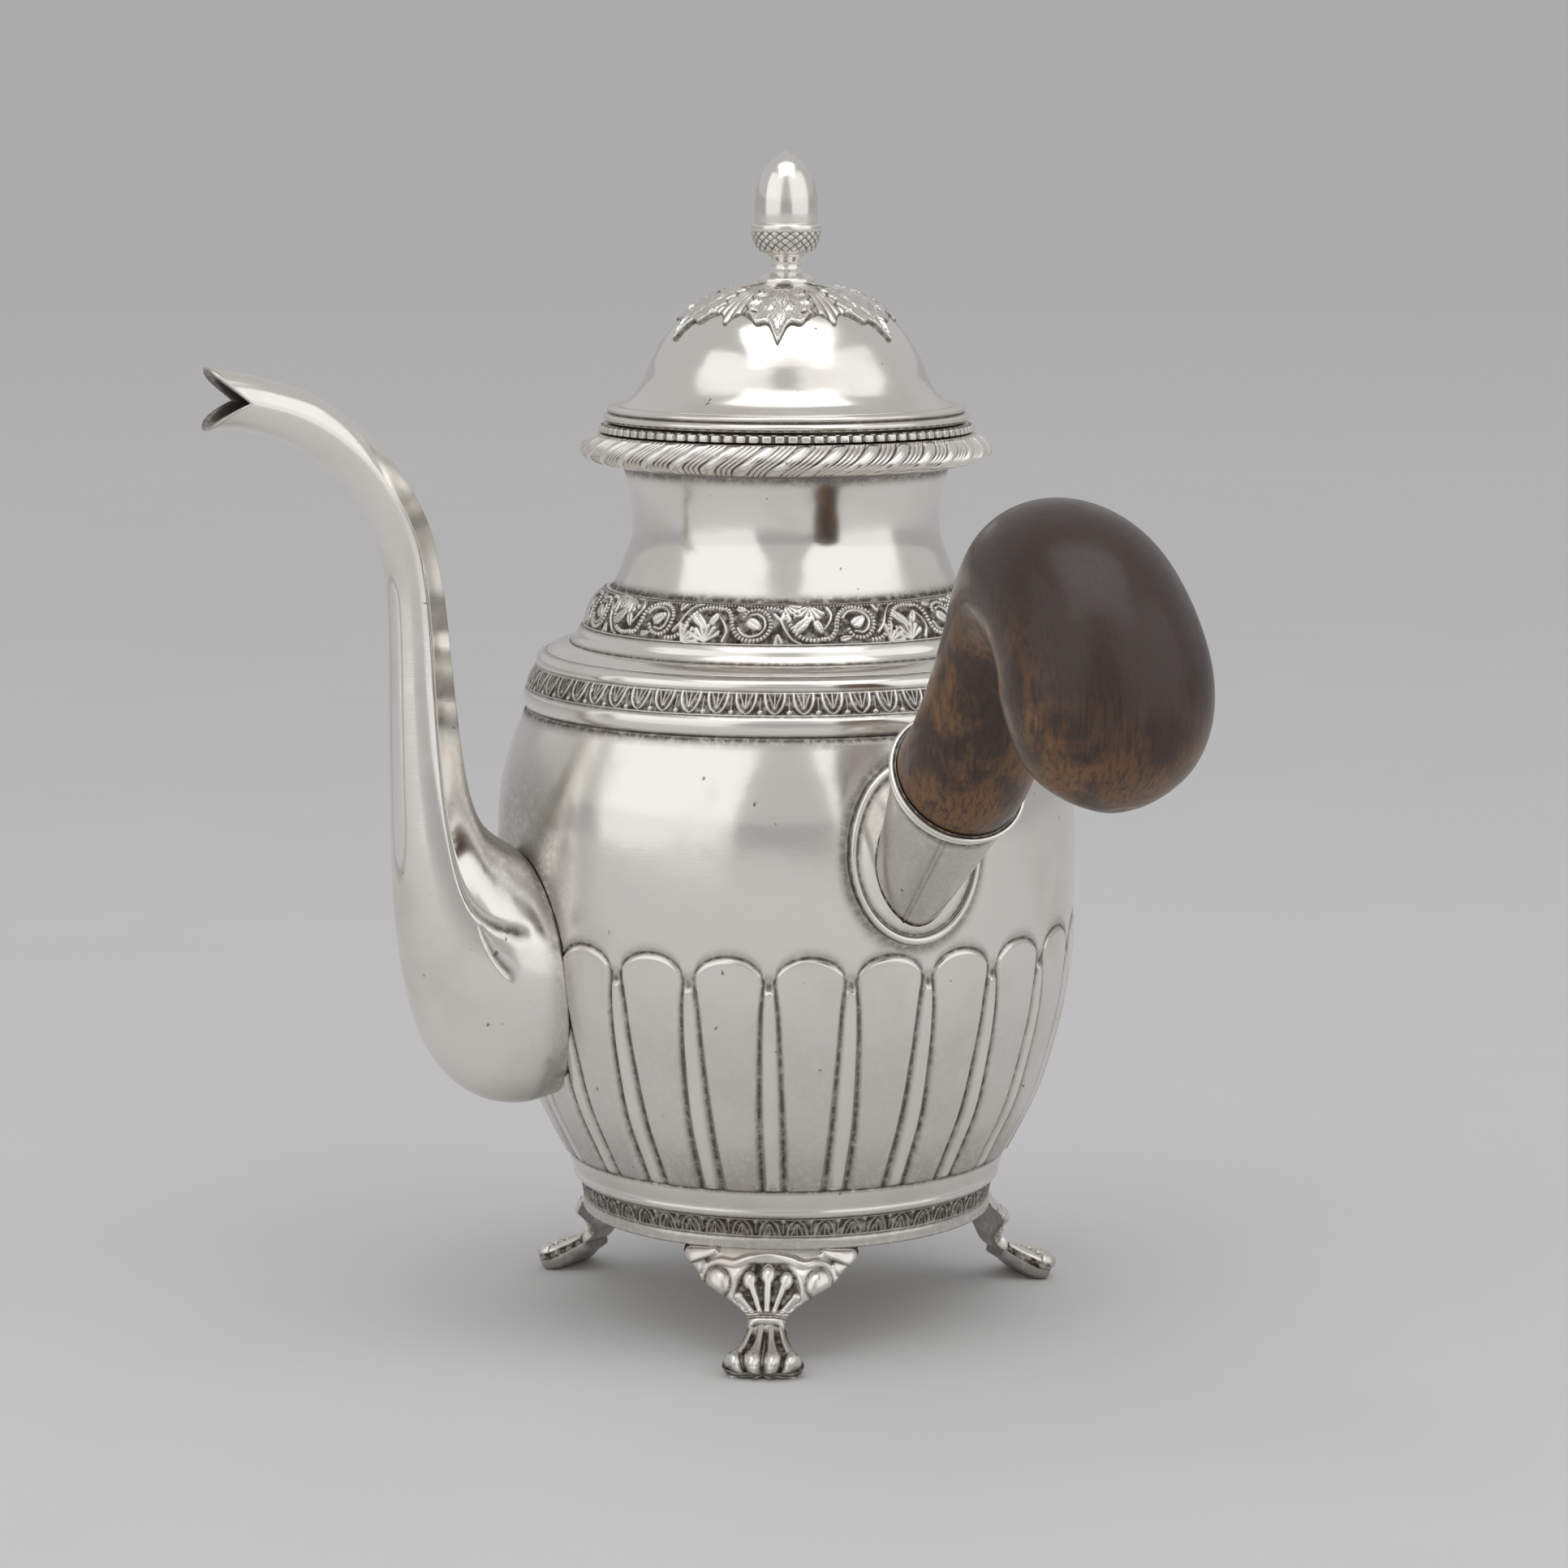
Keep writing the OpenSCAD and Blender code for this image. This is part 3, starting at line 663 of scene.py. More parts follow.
# Strokes of one scroll: points along the band and up it, half width, height, spacing of cuts, taper
SCROLL_STROKES = [
    ([(-12.2, -3.7), (-10.4, -3.4), (-9.2, -1.6), (-8.6, 0.9), (-7.3, 3.1), (-4.6, 4.1), (-1.6, 3.4),
      (0.1, 1.0), (-0.4, -1.9), (-2.6, -3.5), (-5.2, -3.0), (-6.4, -1.1)], 0.62, 0.5, 0.85, 0.25),
    ([(-7.3, 1.2), (-6.2, 2.6), (-4.4, 3.1), (-2.2, 2.4), (-1.1, 0.8), (-1.5, -1.2), (-2.9, -2.3),
      (-4.6, -2.0)], 0.36, 0.46, 0, 0.2),
    ([(-1.2, -4.2), (1.4, -3.9), (3.4, -2.1), (4.8, 0.8), (6.6, 3.0), (9.2, 3.9),
      (12.2, 3.6)], 0.6, 0.5, 0.85, 0.1),
    ([(0.9, -2.4), (2.4, -0.6), (3.6, 1.9), (5.2, 3.9), (6.8, 4.6)], 0.42, 0.46, 0, 0.5),
    ([(-10.6, 4.2), (-9.9, 2.2), (-10.6, 0.2), (-11.8, -1.4)], 0.5, 0.44, 0, 0.6),
    ([(1.2, 4.5), (1.7, 2.8), (2.6, 4.4)], 0.42, 0.4, 0, 0.2),
]
# Leaves: middle along and up, turn, half length, half width
SCROLL_LEAVES = [(-3.6, 0.3, 0.6, 2.1, 1.35), (7.4, 0.2, -0.75, 2.9, 1.25), (11.0, 0.9, 1.1, 1.9, 0.9),
                 (-7.0, -3.6, 0.2, 1.5, 0.7)]
# Fans of small lobes: foot along and up, direction in degrees
SCROLL_FANS = [(9.2, -4.7, 96), (3.4, -4.8, 40)]
SCROLL_DRILLED = [(1.9, 0.9), (5.0, -1.9), (-9.9, -0.9), (-11.1, 2.6), (9.7, 2.1), (-6.9, 4.3)]


def scroll_unit(x, y):
    """One scroll of the chased vine, x along the band and y up it from its middle."""
    height = 0 * x * y
    for points, width, tall, notch, taper in SCROLL_STROKES:
        height = np.maximum(height, stroke(x, y, curve(points, 4), width, tall, notch, taper))
    for cx, cy, tilt, size, wide in SCROLL_LEAVES:
        c, sn = math.cos(tilt), math.sin(tilt)
        along_leaf, across = (x - cx) * c + (y - cy) * sn, -(x - cx) * sn + (y - cy) * c
        leaf = 1 - np.hypot(along_leaf / size, across / (wide * (1 - 0.35 * along_leaf / size)))
        veins = line(across, 0.16) + line(centred(along_leaf / 0.75 - 1.3 * np.abs(across)), 0.15) * 0.7
        height = np.maximum(height, (0.48 * dome(leaf, 0.35) - 0.18 * veins) * (leaf > 0))
    for fx, fy, turn in SCROLL_FANS:
        for lean in (-60, -36, -12, 12, 36, 60):
            a = math.radians(turn + lean)
            tip = (fx + 3.7 * math.cos(a), fy + 3.7 * math.sin(a))
            height = np.maximum(height, 0.46 * lobe_shape(x, y, (fx, fy), tip, 0.15, 0.66))
    dots = np.zeros_like(height)
    for dx, dy in SCROLL_DRILLED:
        dots = np.maximum(dots, ridge(np.hypot(x - dx, y - dy), 0.42))
    return height, dots


def scroll_relief(angle, s, r, z):
    """Running scrolls, every second one upside down, with leaves, fans and drilled dots on a dark ground."""
    columns = angle.shape[1] // (SCROLLS // 2)
    pitch = TURN * SCROLL_R / SCROLLS
    x = (np.arange(columns) / columns * 2 - 1)[None, :] * pitch
    y = s - SCROLL_TALL / 2
    height = dots = 0 * x * y
    for k in range(-2, 3):
        one, holes = scroll_unit((x - k * pitch) * SCROLL_LONG / pitch, y * (-1) ** k)
        height, dots = np.maximum(height, one), np.maximum(dots, holes)
    beaded = 0.6 + 0.4 * np.cos(TURN * x / 0.8)
    edge = 0.35 * line(s - 0.2, 0.3) + 0.3 * line(s - SCROLL_TALL + 0.5, 0.4) * beaded
    height = np.maximum(height, edge) - 0.16 - 0.5 * dots
    on = s < SCROLL_TALL + 0.05
    recess = np.maximum.reduce([1 - ramp(-0.1, 0.2, height), dots, 0.12 + 0 * dots])
    return np.tile(height * on, SCROLLS // 2), np.tile(recess * on * 0.97, SCROLLS // 2)


ring("scroll_band", [(46.9, 161.6), (46.6, 162.4), (46.2, 163.6), (45.6, 165.5), (44.6, 167.4), (43, 169.2),
                     (41.5, 170.4)],
     [(40.6, 170.4), (44.6, 165), (46.4, 161.6)], "pot", "scroll_band", 1800, scroll_relief, "chased_silver")


# ---- lid

LID_WALL = 0.8
DOME = [(38.6, 212), (35.4, 214), (33, 217.4), (31, 222.4), (27.6, 228), (22.4, 233.4), (15.5, 237.2),
        (8, 238.9), (1.4, 239.2)]
VENTS = 12
VENT_RING = 22.0  # radius of the circle that the vents lie on
VENT_R = 0.8
LIP_LEAVES = 6
LEAF_FRONT = VIEW_TURN - math.radians(4)


def vent_rods():
    """Rods at the vents' places, to cut them through the dome and its leaves."""
    turns = (np.arange(VENTS) + 0.5) / VENTS * TURN
    places = np.stack([VENT_RING * np.cos(turns), VENT_RING * np.sin(turns)], -1)
    return rods("vents", [(x, y, 225) for x, y in places], [(x, y, 245) for x, y in places], VENT_R)


def make_lid_dome():
    """The dome's wall with its steam vents."""
    outside = curve(DOME, 14)
    outside[:, 1] = np.maximum(outside[:, 1], Z_DOME)
    inside = (outside - LID_WALL * outward(outside))[::-2]
    inside[-1, 1] = Z_DOME
    inside[:, 0] = np.maximum(inside[:, 0], outside[-1, 0])
    lid = revolve("lid_dome", path(outside, inside), 360)
    cut(lid, vent_rods())
    return place(lid, "lid", "polished_silver", "lid_dome")


make_lid_dome()
ring("lid_rim", [(38.0, 208.3), (41.0, 208.35), (41.9, 208.9), (42.1, 209.5), (41.7, 210.1), (40.8, 210.55),
                 (41.1, 210.8), (41.3, 211.2), (41.0, 211.7), (40.2, 212)],
     [(36.1, 212), (36.1, 208.3)], "lid", "lid_rim_moulding", relief=edges_dark(208.3, 210.6, 0.3, 0.7))


def rosette_relief(angle, s, r, z):
    """Acanthus leaves round the crown: broad leaves with a drooping lip, and ribbed leaves between them."""
    turn = centred((angle - LEAF_FRONT) / TURN * LIP_LEAVES) * 360 / LIP_LEAVES + 0 * r
    across = np.radians(turn) * r
    tip = 2.5 * np.exp(-np.abs(turn / 3.2) ** 1.5)
    lip_edge = 25.3 - 0.0065 * turn**2 + tip + 0.5 * np.cos(np.radians(turn * 30))
    side = np.abs(np.abs(turn) - 180 / LIP_LEAVES)
    scallops = 1.3 * np.abs(np.cos(np.radians(side * 12.4))) ** 3
    rib_edge = 22.6 - 0.001 * side**2 + scallops + 1.1 * line(side, 3)
    lip = np.minimum(lip_edge - r, (21.0 - np.abs(turn) + 1.6 * np.cos(r * 1.9)) * r * 0.0174)
    lip = np.where(r > 11, lip, -1)
    under = rib_edge - r
    ribs = 0 * r * angle
    for k in range(-4, 5):
        bend = side * np.sign(np.abs(turn) - 180 / LIP_LEAVES) - k * (3.1 + 0.12 * (r - 8))
        ribs = np.maximum(ribs, line(np.radians(bend) * r, 0.38 + 0.012 * r))
    ribbed = 0.5 * dome(under, 0.7) + 0.38 * ribs - 0.16
    curl = 0.34 * line(lip - 0.7, 0.55) + 0.22 * line(np.abs(across) - 0.18 * (r - 8), 0.5) * (r < 21)
    stipple = (np.sin(across * 6.1 + 3 * np.sin(r * 2.3)) * np.sin(r * 6.7 + across) > 0.72) * (r > 12)
    sunk = 0.3 * ramp(1.4, 2.6, lip) * (1 - ramp(3.5, 5.5, lip))
    lipped = 0.72 * dome(lip, 0.7) + curl - 0.14 * stipple - sunk
    height = np.where(lip > 0, np.maximum(lipped, ribbed * 0.6), np.where(under > 0, ribbed, -0.4))
    on_lip = 0.75 * stipple + 0.35 * (1 - ramp(0.0, 0.6, lipped))
    recess = np.where(lip > 0, on_lip, 0.8 * (1 - ramp(0.12, 0.55, ribs)))
    recess = np.maximum(recess, 0.95 * line(lip, 0.28))
    recess = np.maximum(recess, 0.8 * line(under, 0.3) * (lip < 0))
    outside = s < s[len(s) // 2]
    return height * outside, recess * outside


def make_rosette():
    """The leafy cap on the dome's crown, a thin shell that follows it."""
    crown = curve(DOME, 60)
    crown = crown[(crown[:, 0] < 28.9) & (crown[:, 0] > 6.0) & (crown[:, 1] > 222)][::2]
    back = (crown - 0.5 * outward(crown))[::-1]
    piece = revolve("lid_rosette", path(crown, back), 1440, rosette_relief)
    cut(piece, vent_rods())
    return place(piece, "lid", "chased_silver", "lid_rosette")


make_rosette()


CUP_CUTS = 20


def hatch_relief(angle, s, r, z):
    """Crossed cuts over the acorn's cup, stopping short of its lip."""
    a = angle / TURN * CUP_CUTS
    b = (z - 246) / 1.7
    cuts = np.maximum(line(centred(a + b), 0.13), line(centred(a - b), 0.13))
    on = ramp(246.6, 247.4, z) * (1 - ramp(251.4, 251.9, z)) * (r > 5)
    return -0.32 * cuts * on, 0.9 * cuts * on


ring("finial_foot", [(5.2, 239.3), (6.3, 239.35), (6.7, 240.0), (6.5, 240.9), (5.4, 241.7), (4.6, 242.2)],
     [(0.9, 242.2), (0.9, 239.3)], "lid", "finial_foot", 96)
ring("finial_stem", [(4.3, 242.2), (3.5, 243.4), (3.5, 244.6), (4.2, 246)],
     [(0.9, 246), (0.9, 242.2)], "lid", "finial_stem", 96)
ring("acorn_cup", [(3.8, 246), (6.3, 247.2), (7.6, 249.4), (8.0, 251.6), (8.1, 252.4), (7.9, 253.1),
                   (7.3, 253.3)],
     [(0.9, 253.3), (0.9, 246)], "lid", "acorn_cup", 480, hatch_relief, "chased_silver")
ring("acorn", [(7.1, 253.3), (7.3, 256.4), (7, 260.2), (5.9, 264), (4, 266.9), (1.6, 268.8), (0, 270)],
     [(0, 253.3)], "lid", "acorn", 120)


# ---- spout

# Keys of the spout from the body to its mouth: radius and height of its outer and lower line, radius and
# height of its inner and upper line, half width
SPOUT = [(60, 56.3, 67.1, 112.4, 19.2), (68.3, 54.9, 69.6, 114.6, 19.2), (77, 56.8, 73.4, 117, 18.2),
         (84.8, 62.4, 76.8, 120.2, 16.2), (91, 72, 79, 124.6, 13.8), (94.8, 86, 80.7, 130.6, 11.6),
         (96.8, 102, 82, 138.8, 9.8), (97.5, 121, 83, 148, 8.3), (97.6, 143, 83.9, 158, 7.3),
         (97.5, 160.5, 84.8, 168, 6.8), (98, 174, 86.3, 178, 6.5), (100.2, 184.6, 89, 188.6, 6.3),
         (104.6, 193, 95.2, 199.8, 6.3), (111.4, 200.6, 103.6, 209.6, 6.3), (120.5, 206.5, 115, 217.6, 6.4),
         (130.8, 209.8, 127.6, 221.8, 6.6), (140, 210.2, 139.4, 224, 7.2)]
SPOUT_WALL = 0.8
NOTCH = 9.5  # how far the mouth is cut back between its lips
MOUTH_KEY = 12.0  # length from the last key but one to the mouth
CREASE = math.radians(98)
KEEL_AT = math.radians(160)
KEEL = 0.32  # half width of the keel, as a share of the spout's
# Creases on both flanks: turn at the low end, turn above, keys where each begins, is full, fades, ends, depth
FLANK_LINES = [(112, 98, 1.3, 2.0, 9.5, 10.5, 1.0), (91, 104, 1.9, 2.4, 3.2, 3.9, 0.8)]


def keeled(turn, amount):
    """The section's shape: round outside, with two flatter faces that meet in a narrow keel inside."""
    c, s = np.cos(turn), np.sin(turn)
    side = np.sign(s)
    a = np.abs(signed(turn))
    share = np.clip((a - CREASE) / (KEEL_AT - CREASE), 0, 1)
    flat_c = math.cos(CREASE) + (-1 - math.cos(CREASE)) * share + 0.08 * np.sin(math.pi * share)
    flat_s = math.sin(CREASE) + (KEEL - math.sin(CREASE)) * share - 0.02 * np.sin(math.pi * share)
    flat_s = flat_s * np.cos(np.clip((a - KEEL_AT) / (math.pi - KEEL_AT), 0, 1) * math.pi / 2)
    beyond = a > CREASE
    c = np.where(beyond, c + (flat_c - c) * amount, c)
    s = np.where(beyond, s + (side * flat_s - s) * amount, s)
    return c, s


def strip_edge(turn, t):
    """The outline of the long faint strip on the spout's outer side."""
    a = np.degrees(signed(turn))
    across = np.hypot(np.abs(a + 16) / 17, np.clip(np.abs(t - 8.3) - 1.3, 0, None) / 0.6)
    return line((across - 1) * 8, 1.0)


def flank_marks(turn, t):
    """How deep each crease on the spout's flanks is, 0 to 1."""
    a = np.degrees(np.abs(signed(turn)))
    marks = 0 * a * t
    for low_end, above, begins, full, fades, ends, depth in FLANK_LINES:
        at = low_end + (above - low_end) * ramp(begins, 5.0, t)
        wide = 1.7 + 1.2 * ramp(3.5, 1.6, t)
        mark = depth * line(a - at, wide) * ramp(begins, full, t) * (1 - ramp(fades, ends, t))
        marks = np.maximum(marks, mark * (0.6 + 0.4 * ramp(4.5, 2.5, t)))
    return marks


def spout_points(turn, t, inner=0.0):
    """Points of the spout's wall. turn is 0 on its outer and lower side, t counts the keys from the body."""
    keys = np.array(SPOUT, float)
    steps = 24
    fine = curve(keys, steps)
    at = np.clip(t, 0, len(keys) - 1) * steps
    r1, z1, r2, z2, w = [np.interp(at, np.arange(len(fine)), fine[:, i]) for i in range(5)]
    half = np.hypot(r2 - r1, z2 - z1) / 2
    share = 1 - inner / half
    c, s = keeled(turn, 0.75 * ramp(3.6, 7.0, t) * (1 - ramp(11.5, 14.0, t)))
    share = share - 0.7 * flank_marks(turn, t) / w - 0.2 * strip_edge(turn, t) / w
    r = (r1 + r2) / 2 + (r1 - r2) / 2 * c * share
    z = (z1 + z2) / 2 + (z1 - z2) / 2 * c * share
    y = s * w * share
    return np.stack([-r, y, z], -1)


def make_spout():
    """The spout's wall, from its seam on the body to its two lips."""
    turn = np.linspace(0, TURN, 216, endpoint=False)[None, :]
    last = len(SPOUT) - 1
    cut_from = last - 3.0
    cut_to = last - NOTCH / MOUTH_KEY * (1 - np.abs(np.cos(turn))) ** 1.2
    t = np.linspace(0, 1, 260)[:, None] * last + 0 * turn
    t = np.where(t > cut_from, cut_from + (t - cut_from) * (cut_to - cut_from) / (last - cut_from), t)
    outside = spout_points(turn + 0 * t, t)
    on_body = outside[0]
    reach = np.sqrt(np.maximum(body_r(on_body[:, 2]) ** 2 - on_body[:, 1] ** 2, 0)) + 0.05
    outside[0, :, 0] = -reach
    inside = spout_points(turn + 0 * t, t, SPOUT_WALL)[2:][::-3]
    rings = np.concatenate([outside, inside])
    upper = np.degrees(np.abs(signed(turn)))
    stain = 0.4 * ramp(112, 140, upper) * (1 - ramp(2.5, 9.0, t)) + 0.3 * (1 - ramp(0.2, 1.2, t))
    # the flank creases are darkened: partly tarnish in them, partly painted shade along them
    marks = np.maximum(stain, 0.95 * flank_marks(turn, t))
    rows = len(outside)
    seam = 0.8 * line(np.arange(rows)[:, None], 2.0)
    recess = np.zeros(rings.shape[:2])
    recess[:rows] = np.maximum(seam, np.maximum(marks, 0.3 * strip_edge(turn, t)))
    recess[rows:] = 0.7
    recess[rows - 2 : rows] = 0.3
    piece = skin("spout", rings, recess, closed=True)
    return place(piece, "pot", "polished_silver", "spout")


make_spout()


# ---- handle

RISE = math.radians(36.5)  # how steeply the socket climbs
OUT_OF_SOCKET = np.array((0, -math.cos(RISE), math.sin(RISE)))
MOUTH = (86.4, 137.0)  # middle of the socket's mouth: distance out, height
SOCKET_R = 14.7
SOCKET_WALL = 0.9
SOCKET_FOOT = (10.2, 13.8, 114.8)  # half width, half height, height of its middle
SEAM_TURN = math.radians(244)  # where the socket's seam lies, as a turn round its own axis
# The two wires round the mouth: distance back from it, and height above the socket
WIRE_LINE = [(3.4, 0.02), (3.2, 0.02), (3.0, 0.35), (2.65, 0.52), (2.3, 0.35), (2.1, 0.02), (1.7, 0.02),
             (0.0, 0.02)]
PLATE_TALL = 41.0
PLATE_WIDE = 32.5
PLATE_FACE = 0.9
PLATE_RIM = 1.9
GRIP_R = 14.5
# The grip's middle line from the socket to its tip: distance out, height, half thickness, half width
GRIP = [(86.7, 137.2, 14.5, 14.5), (90.6, 140.4, 14.3, 14.4), (95.4, 146.6, 14.1, 14.2),
        (100.8, 156, 13.6, 13.6), (107, 167, 13.6, 13.6), (115.2, 176.8, 15.2, 15.6), (126, 182.2, 17.8, 18.6),
        (137.6, 180, 19.3, 20.3), (146.4, 172.2, 20.3, 21.3), (151, 162.8, 20.9, 21.9),
        (153.4, 153.2, 19.3, 20), (155, 146.6, 15.6, 16.1), (156, 142.3, 10.3, 10.8), (156.6, 139.8, 5, 5.2),
        (156.8, 139.1, 1, 1)]
TENON_LONG = 10


def on_front(x, z, lift):
    """A point on the handle's side of the body, lifted off it."""
    return np.stack([x, -np.sqrt(np.maximum(body_r(z) ** 2 - x**2, 0)) - lift, z], -1)


def make_plate():
    """The oval plate under the socket, with its raised edge."""
    turn = np.linspace(0, TURN, 160, endpoint=False)[None, :]
    share = np.concatenate([np.linspace(0.001, 0.86, 16), np.linspace(0.87, 1.0, 28), [1.0, 1.0]])[:, None]
    x = PLATE_WIDE / 2 * share * np.cos(turn)
    z = PLATE_Z + PLATE_TALL / 2 * share * np.sin(turn)
    from_edge = (1 - share) * PLATE_TALL / 2
    lift = PLATE_FACE + (PLATE_RIM - PLATE_FACE) * ridge(from_edge - 1.0, 1.0)
    lift[-1] = -0.4
    lift[-2] = 0.25
    recess = 0.85 * line(from_edge - 2.4, 0.6) + 0.9 * line(from_edge, 0.35)
    rings = on_front(x, z, lift + 0 * turn)
    rings = np.concatenate([rings, on_front(x[:1], z[:1], -0.4 + 0 * turn)])
    recess = np.concatenate([recess + 0 * turn, 0 * turn])
    piece = skin("handle_plate", rings[::-1], recess[::-1], closed=True)
    return place(piece, "pot", "polished_silver", "handle_plate")


def socket_ends(turn):
    """The outline of the socket's foot on the plate, and of its mouth."""
    half_wide, half_tall, foot_z = SOCKET_FOOT
    pointed = 1 - 0.16 * np.clip(-np.sin(turn), 0, 1) ** 2
    foot_x, foot_up = half_wide * np.cos(turn) * pointed, foot_z + half_tall * np.sin(turn)
    foot = on_front(foot_x, foot_up, PLATE_FACE - 0.2 + 0 * turn)
    x, up = SOCKET_R * np.cos(turn), SOCKET_R * np.sin(turn)
    mouth = np.stack([x, -MOUTH[0] + up * math.sin(RISE), MOUTH[1] + up * math.cos(RISE)], -1)
    return foot, mouth


def make_socket():
    """The tapered socket with its seam, the wires round its mouth, and its inside."""
    turn = np.linspace(0, TURN, 288, endpoint=False)
    foot, mouth = socket_ends(turn)
    share = np.linspace(0, 1, 40)[:, None, None]
    centre_line = foot.mean(0) * (1 - share) + mouth.mean(0) * share
    outside = foot * (1 - share) + mouth * share
    middle = mouth.mean(0)
    wires = []
    for back, lift in WIRE_LINE:
        wires.append(middle + (mouth - middle) * (1 + lift / SOCKET_R) - OUT_OF_SOCKET * back)
    inner = middle + (mouth - middle) * (GRIP_R / SOCKET_R)
    deep = centre_line[-14] + (outside[-14] - centre_line[-14]) * (1 - SOCKET_WALL / SOCKET_R)
    foot_inside = centre_line[2] + (outside[2] - centre_line[2]) * 0.9
    from_seam = signed(turn - SEAM_TURN)
    pinch = 0.3 * line(from_seam * SOCKET_R, 0.4)[None, :, None] * (1 - share**6)
    wall = (outside + (outside - centre_line) / SOCKET_R * pinch)[:-6]
    rings = np.concatenate([wall, wires, [inner, inner - OUT_OF_SOCKET * 3, deep, foot_inside]])
    recess = np.zeros(rings.shape[:2])
    recess[:2] = 0.8
    recess[: len(wall)] += 0.35 * line(np.abs(np.abs(from_seam) * SOCKET_R - 0.6), 0.35)
    recess[: len(wall)] += 0.22
    for row, (_, lift) in enumerate(WIRE_LINE, len(wall)):
        recess[row] = 0.9 * (lift < 0.1)
    piece = skin("handle_socket", rings, recess, closed=True)
    return place(piece, "pot", "polished_silver", "handle_socket")


def drawn_in(ring_of, share):
    """A ring of points drawn in about its middle, to a share of its size."""
    middle = ring_of.mean(1, keepdims=True)
    return middle + (ring_of - middle) * share


def make_grip():
    """The wooden grip: a tenon in the socket, a neck, and a bulb that turns over and down."""
    fine = curve(GRIP, 12)
    turn = np.linspace(0, TURN, 128, endpoint=False)[None, :]
    centre = fine[:, :2]
    d = np.gradient(centre, axis=0)
    d[0] = (math.cos(RISE), math.sin(RISE))
    d = d / np.linalg.norm(d, axis=1, keepdims=True)
    across = np.stack([-d[:, 1], d[:, 0]], -1)
    r = centre[:, :1] + across[:, :1] * fine[:, 2:3] * np.sin(turn)
    z = centre[:, 1:] + across[:, 1:] * fine[:, 2:3] * np.sin(turn)
    x = fine[:, 3:4] * np.cos(turn)
    rings = np.stack([x, -r, z], -1)
    tenon = drawn_in(rings[:1] - OUT_OF_SOCKET * TENON_LONG, 0.6)
    shoulder = drawn_in(rings[:1], 0.93)
    rings = np.concatenate([drawn_in(tenon, 0), tenon, shoulder, rings, drawn_in(rings[-1:], 0)])
    out, up = -rings[..., 1], rings[..., 2]
    near_socket = 1 - ramp(24, 64, np.hypot(out - 90, up - 139))
    near_tip = 1 - ramp(8, 30, np.hypot(out - 157, up - 142))
    inner_edge = (1 - ramp(14, 30, np.hypot(out - 138, up - 156))) * (1 - ramp(-12, 8, rings[..., 0]))
    amber = np.clip(near_socket + 0.85 * near_tip + 0.8 * inner_edge, 0, 1)
    piece = skin("handle_grip", rings, extra={"amber": amber})
    return place(piece, "pot", "dark_wood", "handle_grip")


make_plate()
make_socket()
make_grip()


# ---- feet

# A foot's middle line from its top to its toes: distance out, height, half width, half thickness
FOOT = [(46.6, 24.5, 20.2, 0.9), (48.0, 23.2, 20.4, 0.9), (49.3, 21.9, 19.4, 0.9), (50.4, 20.6, 17.6, 0.9),
        (51.3, 19.4, 16.3, 1.0), (52.0, 18.3, 15.6, 1.0), (52.6, 17.0, 13.9, 1.1), (53.0, 15.6, 11.2, 1.3),
        (53.3, 14.2, 8.7, 1.5), (53.4, 12.8, 6.6, 1.8), (53.5, 11.4, 5.2, 2.0), (53.9, 10.0, 4.5, 2.1),
        (55.0, 8.6, 4.3, 2.2), (57.0, 7.2, 4.7, 2.3), (59.6, 5.6, 5.7, 2.4), (62.2, 4.0, 7.3, 2.8),
        (64.2, 3.0, 8.7, 3.0), (66.1, 2.6, 9.2, 3.0), (67.6, 2.1, 8.9, 2.7), (68.4, 1.6, 8.2, 2.0),
        (68.9, 1.1, 7.2, 1.2)]
FOOT_TURNS = {"foot_front": 240, "foot_back": 120, "foot_side": 0}
ANKLE = 12  # key where the paw begins
FOOT_STEPS = 10
TOES = (-0.76, -0.25, 0.25, 0.76)
# Outline of the scroll on each side of the bracket: distance from its middle, distance down
BRACKET_SCROLL = [(9.4, 10.9), (11.9, 11.4), (14.6, 9.9), (15.3, 7.0), (13.8, 4.2), (10.8, 3.0), (7.6, 3.2),
                  (4.4, 2.2), (0, 1.9)]


